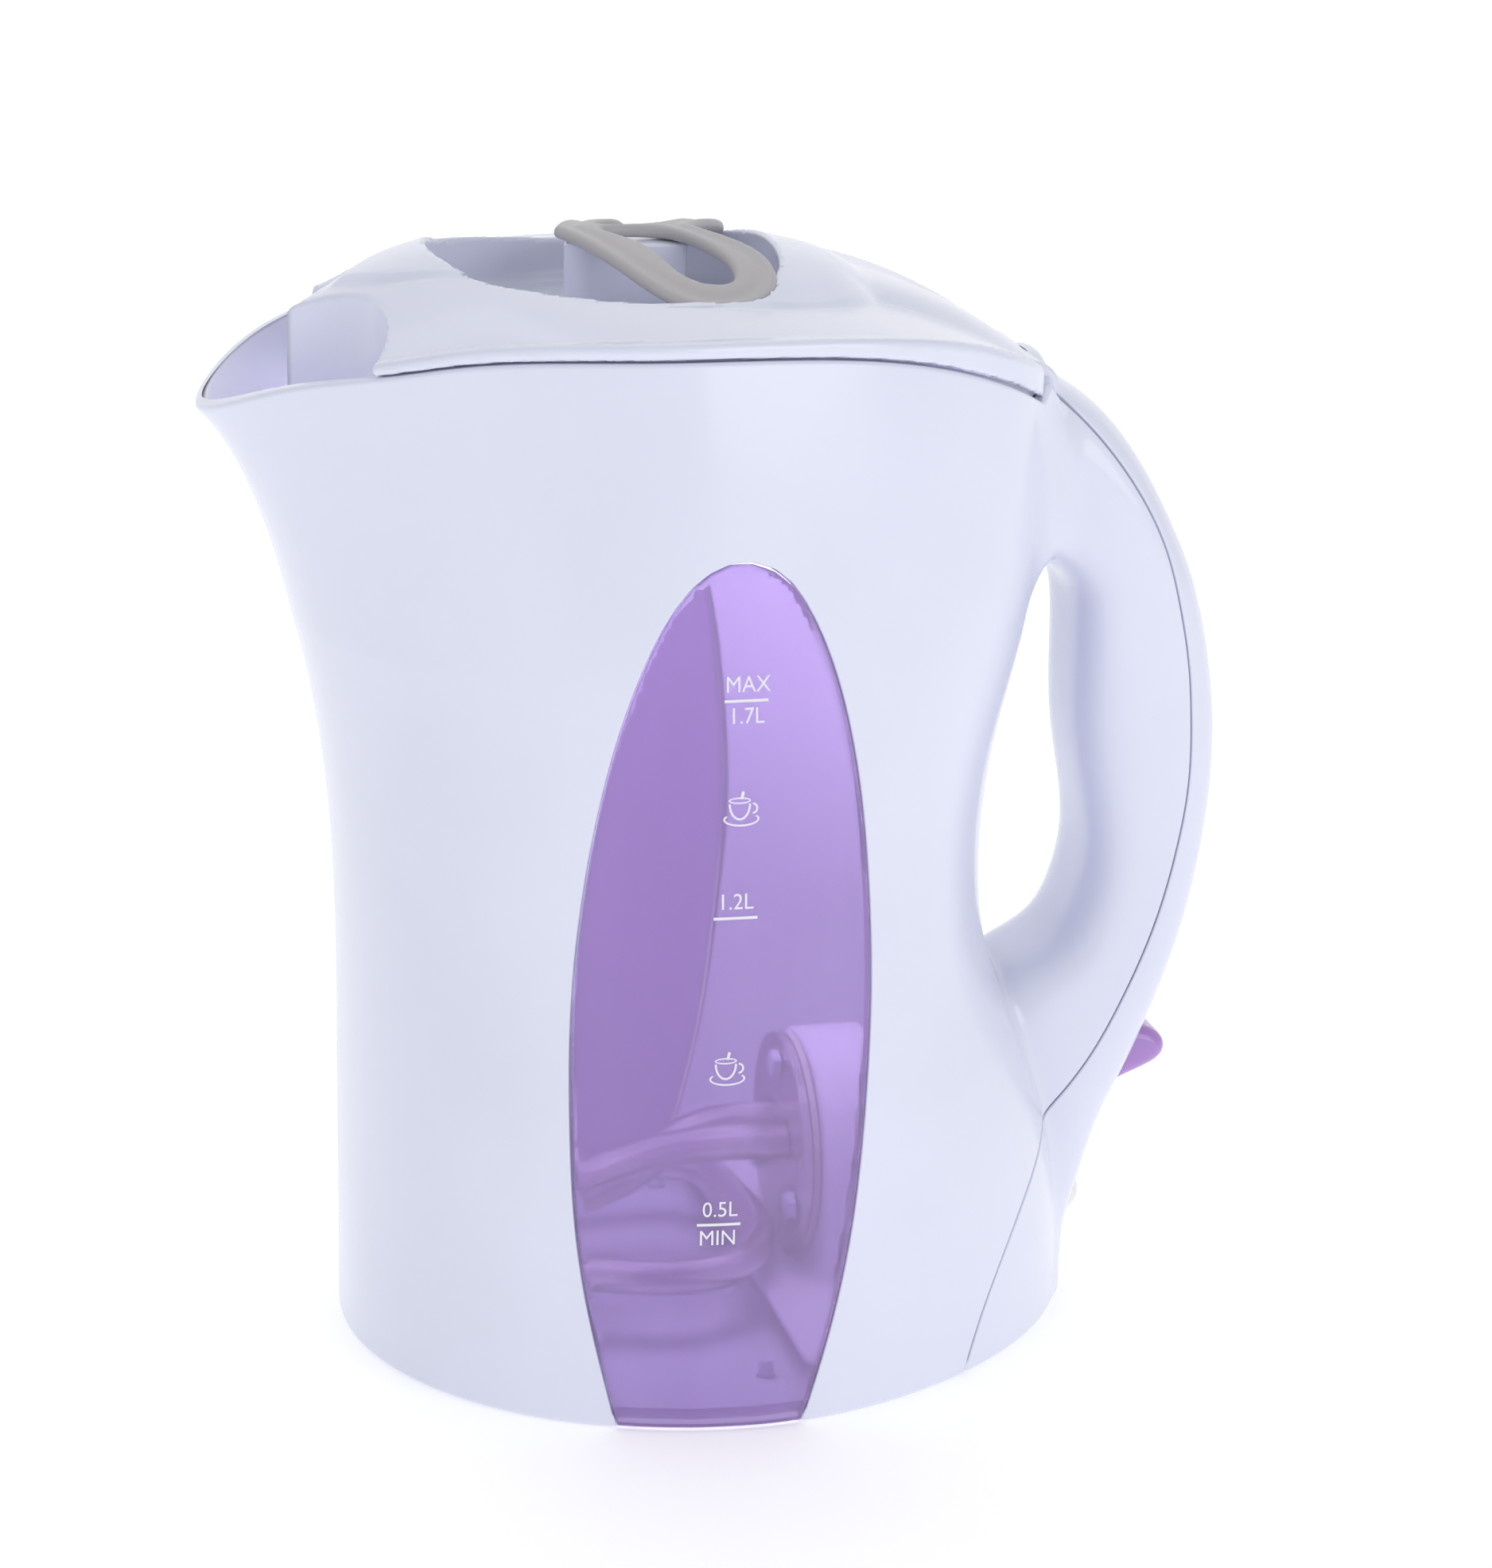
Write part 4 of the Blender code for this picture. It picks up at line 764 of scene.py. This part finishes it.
SLOT_LOOKS = {"shell": WHITE, "pan": LINER, "window": VIOLET, "base": WHITE, "rubber": RUBBER, "screw": STEEL,
              "element": SHEATH, "bimetal": BIMETAL, "control": DARK, "brass": BRASS, "pin": STEEL,
              "lever": LEVER_VIOLET, "lens": MILKY, "lamp": LAMP, "tube": TUBE, "grip": GREY}
NODE_LOOKS = {"body_shell": WHITE, "lid_inner": LINER, "element_gasket": SILICONE, "trip_lever": DARK,
              "element_head": STEEL, "steam_tube": TUBE}


def dress_cad_nodes():
    """Give every CAD node the full material of its slot."""
    slot_of = {}
    for row in frame["record"].get("materials", []):
        for node in row.get("nodes", []):
            slot_of[node] = row["slot"]
    for name, obj in frame["nodes"].items():
        look = NODE_LOOKS.get(name) or SLOT_LOOKS.get(slot_of.get(name, ""), WHITE)
        obj.data.materials.clear()
        obj.data.materials.append(look)


# ---- the outer skin in its pieces ------------------------------------------------------------------
SKIN_STEP, LINER_STEP, LID_STEP, GRIP_STEP, SMALL_STEP = 1.3, 1.9, 0.95, 0.7, 0.6
EDGE, SEAM_HALF_GAP = 0.35, 0.16
SEAM_INSET = EDGE + SEAM_HALF_GAP
PANE_THICK, LINER_THICK = 2.0, 1.2
SLOT_HALF_WIDTH, SLOT_HALF_HEIGHT, SLOT_Z = 8.2, 9.8, 47.6
LENS_X, LENS_Z, LENS_HOLE = 70.5, 17.0, 6.3
REAR_ONLY_X = 60.0
COVER_END_X, COVER_END_Z = 60.4, 189.1


def edge_radius(p):
    """Edges are rounder at the rim and the base than along the seams."""
    r = np.full(len(p), EDGE)
    r = np.where(rim(*p.T) > -2.5, 1.0, r)
    return np.where(p[:, 2] < 3.0, 0.9, r)


def inset(limit, distance):
    """Limit moved back into its own negative side."""
    return lambda x, y, z: limit(x, y, z) + distance


def opposite(limit, distance):
    """The other side of a limit, kept at a distance from it."""
    return lambda x, y, z: distance - limit(x, y, z)


def bottom(x, y, z):
    """Positive below the lower edge of the shell."""
    return BOTTOM_Z + 0.9 - z


def lever_slot(x, y, z):
    """Negative inside the opening for the thumb lever, tall enough for its travel."""
    opening = both(np.abs(y) - SLOT_HALF_WIDTH, np.abs(z - SLOT_Z) - SLOT_HALF_HEIGHT, 2.0)
    return np.maximum(opening, REAR_ONLY_X - x)


def lens_hole(x, y, z):
    """Negative inside the round opening for the lamp's lens."""
    return np.maximum(np.hypot(y, z - LENS_Z) - LENS_HOLE, REAR_ONLY_X - x)


def cover_end(x, y, z):
    """Positive above the upper end of the cover, at the hinge."""
    return -(0.84 * (x - COVER_END_X) - 0.54 * (z - COVER_END_Z))


def end_wall(x, y, z):
    """Wall that closes the cover's upper end, just behind the hinge."""
    plate = both(handle(x, y, z) + 0.6, np.abs(cover_end(x, y, z) + 1.3) - 0.8, 0.3)
    return np.maximum(plate, opposite(seam, 0.0)(x, y, z))


def cut_sheet(points, faces, field, limits, step):
    """Sheet trimmed by each limit in turn, with the normals of its points."""
    for limit in limits:
        points, faces = trimmed(points, faces, field, limit, step)
    normals = unit(slope(field, points))
    return points, faces, normals


def far_half(side):
    """Positive on the other side of the middle plane than side (-1 near, 1 far)."""
    return lambda x, y, z: -side * y


def build_skin():
    """The three coloured parts of one surface: jug, rear cover and windows."""
    points, quads = drawn(skin, (-106, 103), 70, (-2.5, 208), SKIN_STEP)
    quads = [tuple(q) for q in quads.tolist()]
    build_shell(points, quads)
    build_cover(points, quads)
    build_panes(points, quads)


def build_shell(points, quads):
    """White jug with the inner part of the handle, open at the windows."""
    seam_limit, glass_limit = inset(seam, SEAM_INSET), opposite(window_edge, SEAM_INSET)
    sheet = cut_sheet(points, quads, skin, [bottom, inset(rim, 1.0), seam_limit, glass_limit], SKIN_STEP)
    shell = mesh_object("jug_shell", *walled(*sheet, edge_radius, WALL), WHITE)
    piece(shell, "housing", "shell", "body_shell")


def build_cover(points, quads):
    """Rear cover of the handle, with the openings for the lever and the lamp."""
    openings = [opposite(lever_slot, EDGE), opposite(lens_hole, EDGE)]
    limits = [bottom, opposite(seam, SEAM_INSET), cover_end] + openings
    sheet = cut_sheet(points, quads, skin, limits, SKIN_STEP)
    cover = mesh_object("handle_skin", *walled(*sheet, edge_radius, WALL), WHITE)
    piece(cover, "housing", "shell", "handle_cover")
    wall_points, wall_faces = drawn(end_wall, (50, 68), 24, (178, 200), SMALL_STEP)
    normals = slope(end_wall, wall_points, 0.1)
    wall = mesh_object("cover_wall", wall_points, wall_faces.tolist(), normals, WHITE)
    piece(wall, "housing", "shell", "handle_cover")


def build_panes(points, quads):
    """Violet windows, near and far."""
    for side, name, node in ((-1, "pane_near", "window_near"), (1, "pane_far", "window_far")):
        limits = [far_half(side), bottom, inset(window_edge, SEAM_INSET)]
        sheet = cut_sheet(points, quads, skin, limits, SKIN_STEP)
        pane = mesh_object(name, *thickened(*sheet, EDGE, PANE_THICK), VIOLET)
        piece(pane, "housing", "window", node)


def build_liner():
    """White inside of the jug, open at the mouth and behind the windows."""
    points, quads = drawn(hollow, (-102, 74), 68, (6, 208), LINER_STEP)
    quads = [tuple(q) for q in quads.tolist()]
    limits = [inset(rim, 0.9), opposite(window_edge, 0.5)]
    points, faces, normals = cut_sheet(points, quads, hollow, limits, LINER_STEP)
    faces = [face[::-1] for face in faces]
    sheet = walled(points, faces, -normals, lambda p: np.full(len(p), 0.7), LINER_THICK)
    liner = mesh_object("jug_inside", *sheet, LINER)
    piece(liner, "housing", "shell", "body_shell")


def build_lid():
    points, quads = drawn(lid_form, (-88, 65), 58, (182, 221), LID_STEP)
    lid = mesh_object("lid_shell", points, quads.tolist(), slope(lid_form, points, 0.12), WHITE)
    piece(lid, "lid", "shell", "lid_top")
    points, quads = drawn(grip_form, (-36, 8), 38, (203, 222), GRIP_STEP)
    grip = mesh_object("grip_loop", points, quads.tolist(), slope(grip_form, points, 0.1), GREY)
    piece(grip, "lid", "grip", "lid_grip")


def build_lever():
    points, quads = drawn(lever_form, (58, 95), 9, (39, 57), SMALL_STEP)
    lever = mesh_object("thumb_lever", points, quads.tolist(), slope(lever_form, points, 0.1), LEVER_VIOLET)
    piece(lever, "switch", "lever", "switch_lever")


# ---- small round pieces ----------------------------------------------------------------------------
def turned(name, centre, profile, material, sides=64):
    """Form turned round a line along X through centre; profile is (along, radius) in mm."""
    angles = np.linspace(0, 2 * np.pi, sides, endpoint=False)
    points, faces = [], []
    x, y, z = centre
    for along, radius in profile:
        points += [(x + along, y + radius * math.cos(a), z + radius * math.sin(a)) for a in angles]
    for k in range(len(profile) - 1):
        for i in range(sides):
            j = (i + 1) % sides
            faces.append((k * sides + i, (k + 1) * sides + i, (k + 1) * sides + j, k * sides + j))
    return mesh_object(name, np.array(points), faces, None, material)


def build_lens():
    """Domed lens of the lamp, below the lever."""
    rim_profile = [(-3.2, 5.7), (-0.6, 5.75), (-0.15, 5.6), (0.1, 5.3)]
    dome = [(0.1 + 6.9 * math.sin(a), 5.3 * math.cos(a)) for a in np.linspace(0.06, 1.569, 18)]
    lens = turned("lamp_lens", (LENS_X, 0, LENS_Z), rim_profile + dome, MILKY)
    piece(lens, "housing", "lens", "indicator_lens")


SHEATH_RADIUS = 3.6


def element_route():
    """From the head forwards, down, once round the wide turn, inwards and back."""
    z0 = HEAD_Z + 2.5
    coil_z = FLOOR_TOP + 6.6
    route = [(POCKET_X + 5.5, -6.5, z0), (POCKET_X - 6, -6.5, z0), (0, -8.0, z0 + 1.0),
             (-18, -9.5, z0 - 0.5), (-38, -15, z0 - 5.5), (-48, -4, coil_z + 3)]
    for degrees in (165, 130, 95, 60, 25, -10, -45, -80, -115, -145):
        a = math.radians(degrees)
        r = 31.0 if degrees > -60 else 29.5
        wide = 20.5 if abs(degrees) < 50 else r
        route.append((-12.0 + wide * math.cos(a), r * math.sin(a), coil_z))
    route += [(-34, -3, coil_z), (-30, 9, coil_z + 0.5), (-16, 12.5, coil_z + 4),
              (-2, 8.5, z0 - 2.5), (POCKET_X - 6, 6.5, z0), (POCKET_X + 5.5, 6.5, z0)]
    return route


def tube(name, route, radius, material, count=160):
    """Round bar along a smooth route through points in millimetres."""
    data = bpy.data.curves.new(name, "CURVE")
    data.dimensions = "3D"
    path = smooth_line(route, count)
    spline = data.splines.new("POLY")
    spline.points.add(len(path) - 1)
    for point, place in zip(spline.points, path):
        point.co = (*(place * MM), 1.0)
    data.bevel_depth = radius * MM
    data.bevel_resolution = 6
    data.use_fill_caps = True
    data.materials.append(material)
    obj = bpy.data.objects.new(name, data)
    bpy.context.scene.collection.objects.link(obj)
    return obj


def build_element():
    sheath = tube("element_tube", element_route(), SHEATH_RADIUS, SHEATH)
    piece(sheath, "housing", "element", "heating_element")


# ---- level marks printed on the near window --------------------------------------------------------
PRINT_LIFT = 0.12
LETTER_HEIGHT = 3.3


def on_window(x, z):
    """Points of the ink film on the near window, at the places (x, z)."""
    y = np.full(x.shape, 64.0)
    for _ in range(6):
        y = y - skin(x, y, z)
    return np.stack([x, -y - PRINT_LIFT, z], 1)


def word(name, text, x, z):
    """Word in a plain face, laid on the near window."""
    data = bpy.data.curves.new(name, "FONT")
    data.body = text
    data.align_x, data.align_y = "CENTER", "CENTER"
    data.size = LETTER_HEIGHT * 1.3
    data.resolution_u = 4
    temp = bpy.data.objects.new(name, data)
    bpy.context.scene.collection.objects.link(temp)
    bpy.context.view_layer.update()
    mesh = bpy.data.meshes.new_from_object(temp)
    bpy.data.objects.remove(temp)
    flat = np.array([v.co[:] for v in mesh.vertices])
    faces = [tuple(p.vertices) for p in mesh.polygons]
    points = on_window(x + flat[:, 0] * 0.92, z + flat[:, 1])
    piece(mesh_object(name, points, faces, None, INK), "housing", "window")


def bar(x, z, half, thick):
    """Level line, with points enough to follow the window's bulge."""
    xs = np.linspace(x - half, x + half, 7)
    return [(a, z - thick / 2) for a in xs] + [(a, z + thick / 2) for a in xs[::-1]]


def arc(x, z, wide, tall, start, end, count=14):
    return [(x + wide * math.cos(a), z + tall * math.sin(a)) for a in np.linspace(start, end, count)]


def stroke(x, z, wide, tall, line, start, end):
    """Line of even width along part of an ellipse."""
    return arc(x, z, wide, tall, start, end) + arc(x, z, wide - line, tall - line, end, start)


def cup_shapes(x, z):
    """Outlined cup with its handle and a spoon, on a saucer."""
    spoon = [(x - 0.2, z + 2.1), (x + 0.25, z + 2.0), (x + 0.65, z + 3.4), (x + 0.1, z + 3.6)]
    saucer = stroke(x, z - 1.7, 3.4, 1.35, 0.36, -3.7, 0.56)
    bowl = stroke(x - 0.3, z + 1.2, 2.1, 3.1, 0.40, -math.pi, 0)
    brim_front = stroke(x - 0.3, z + 1.8, 2.1, 0.62, 0.30, -math.pi, 0)
    brim_rear = stroke(x - 0.3, z + 1.8, 2.1, 0.62, 0.30, 0, math.pi)
    ear = stroke(x + 2.0, z + 0.3, 1.15, 1.1, 0.36, -1.45, 1.45)
    return [saucer, bowl, brim_front, brim_rear, ear, spoon]


def build_marks():
    """Level marks: words, lines under or over them, and two cups."""
    word("mark_max", "MAX", -9.0, 146.2)
    word("mark_high", "1.7L", -9.3, 140.4)
    word("mark_middle", "1.2L", -11.3, 105.6)
    word("mark_low", "0.5L", -13.6, 45.6)
    word("mark_min", "MIN", -14.0, 39.9)
    shapes = [bar(-9.3, 143.3, 4.1, 0.55), bar(-11.3, 102.6, 4.1, 0.55), bar(-13.8, 42.7, 4.1, 0.55)]
    shapes += cup_shapes(-10.3, 123.0) + cup_shapes(-12.6, 73.3)
    starts = np.cumsum([0] + [len(shape) for shape in shapes])
    faces = [tuple(range(start, end)) for start, end in zip(starts[:-1], starts[1:])]
    plan = np.array([place for shape in shapes for place in shape])
    piece(mesh_object("mark_lines", on_window(plan[:, 0], plan[:, 1]), faces, None, INK), "housing", "window")


# ---- studio ----------------------------------------------------------------------------------------
def build_stage():
    """Pale floor that sweeps up behind the kettle."""
    profile = [(-6.0, 0.0), (1.2, 0.0)]
    profile += [(1.2 + 0.8 * math.sin(a), 0.8 - 0.8 * math.cos(a)) for a in np.linspace(0.1, math.pi / 2, 10)]
    profile += [(2.0, 3.0)]
    points = [(x, y, z) for y, z in profile for x in (-5.0, 5.0)]
    faces = [(2 * k, 2 * k + 1, 2 * k + 3, 2 * k + 2) for k in range(len(profile) - 1)]
    material, nodes, links, shader, place = node_material("studio_floor")
    cloud = noise(nodes, links, place, 6.0, 3.0)
    colour = ramp(nodes, links, cloud, (0.93, 0.93, 0.935), (0.95, 0.95, 0.955))
    links.new(colour, shader.inputs["Base Color"])
    shader.inputs["Roughness"].default_value = 0.7
    shader.inputs["Emission Color"].default_value = (1, 1, 1, 1)
    shader.inputs["Emission Strength"].default_value = 0.33
    floor = mesh_object("studio_floor", np.array(points) / MM, faces, None, material)


def area_light(name, place, target, size, power):
    data = bpy.data.lights.new(name, "AREA")
    data.shape = "RECTANGLE"
    data.size, data.size_y = size
    data.energy = power
    obj = bpy.data.objects.new(name, data)
    obj.location = place
    obj.rotation_euler = (Vector(target) - Vector(place)).to_track_quat("-Z", "Y").to_euler()
    bpy.context.scene.collection.objects.link(obj)
    return obj


def build_lights():
    """Even daylight, brighter from the front right, and a glow inside for the translucent walls."""
    world = bpy.context.scene.world or bpy.data.worlds.new("studio")
    bpy.context.scene.world = world
    world.use_nodes = True
    background = world.node_tree.nodes["Background"]
    background.inputs["Color"].default_value = (0.97, 0.975, 1.0, 1)
    background.inputs["Strength"].default_value = 0.52
    area_light("key", (0.9, -1.7, 0.75), (0, 0, 0.1), (1.5, 1.1), 10.5)
    area_light("fill", (-1.4, -1.0, 0.7), (0, 0, 0.1), (1.0, 1.2), 2.5)
    area_light("top", (0.0, 0.6, 1.7), (0, 0.2, 0), (1.4, 1.4), 4.2)
    inner = area_light("through_the_walls", (-0.01, 0, 0.176), (-0.01, 0, 0.0), (0.09, 0.08), 0.15)
    inner.visible_camera = inner.visible_transmission = inner.visible_glossy = False


CAMERA_AZIMUTH, CAMERA_ELEVATION, CAMERA_ROLL = -13.5, 17.0, 1.0
CAMERA_DISTANCE, CAMERA_LENS = 0.950, 110.8
CAMERA_TARGET = (0.0061, 0.0, 0.1075)


def build_camera():
    """Long lens from the front left, slightly above the lid."""
    az, el = math.radians(CAMERA_AZIMUTH), math.radians(CAMERA_ELEVATION)
    back = Vector((math.sin(az) * math.cos(el), -math.cos(az) * math.cos(el), math.sin(el)))
    data = bpy.data.cameras.new("camera")
    data.lens = CAMERA_LENS
    data.sensor_width = 36.0
    data.sensor_fit = "AUTO"
    camera = bpy.data.objects.new("camera", data)
    camera.location = Vector(CAMERA_TARGET) + back * CAMERA_DISTANCE
    roll = Matrix.Rotation(math.radians(CAMERA_ROLL), 3, "Z").to_quaternion()
    camera.rotation_euler = ((-back).to_track_quat("-Z", "Y") @ roll).to_euler()
    bpy.context.scene.collection.objects.link(camera)
    bpy.context.scene.camera = camera


bpy.context.scene.view_settings.view_transform = "Standard"
build_camera()
dress_cad_nodes()
build_skin()
build_liner()
build_lid()
build_lever()
build_lens()
build_element()
build_marks()
build_stage()
build_lights()
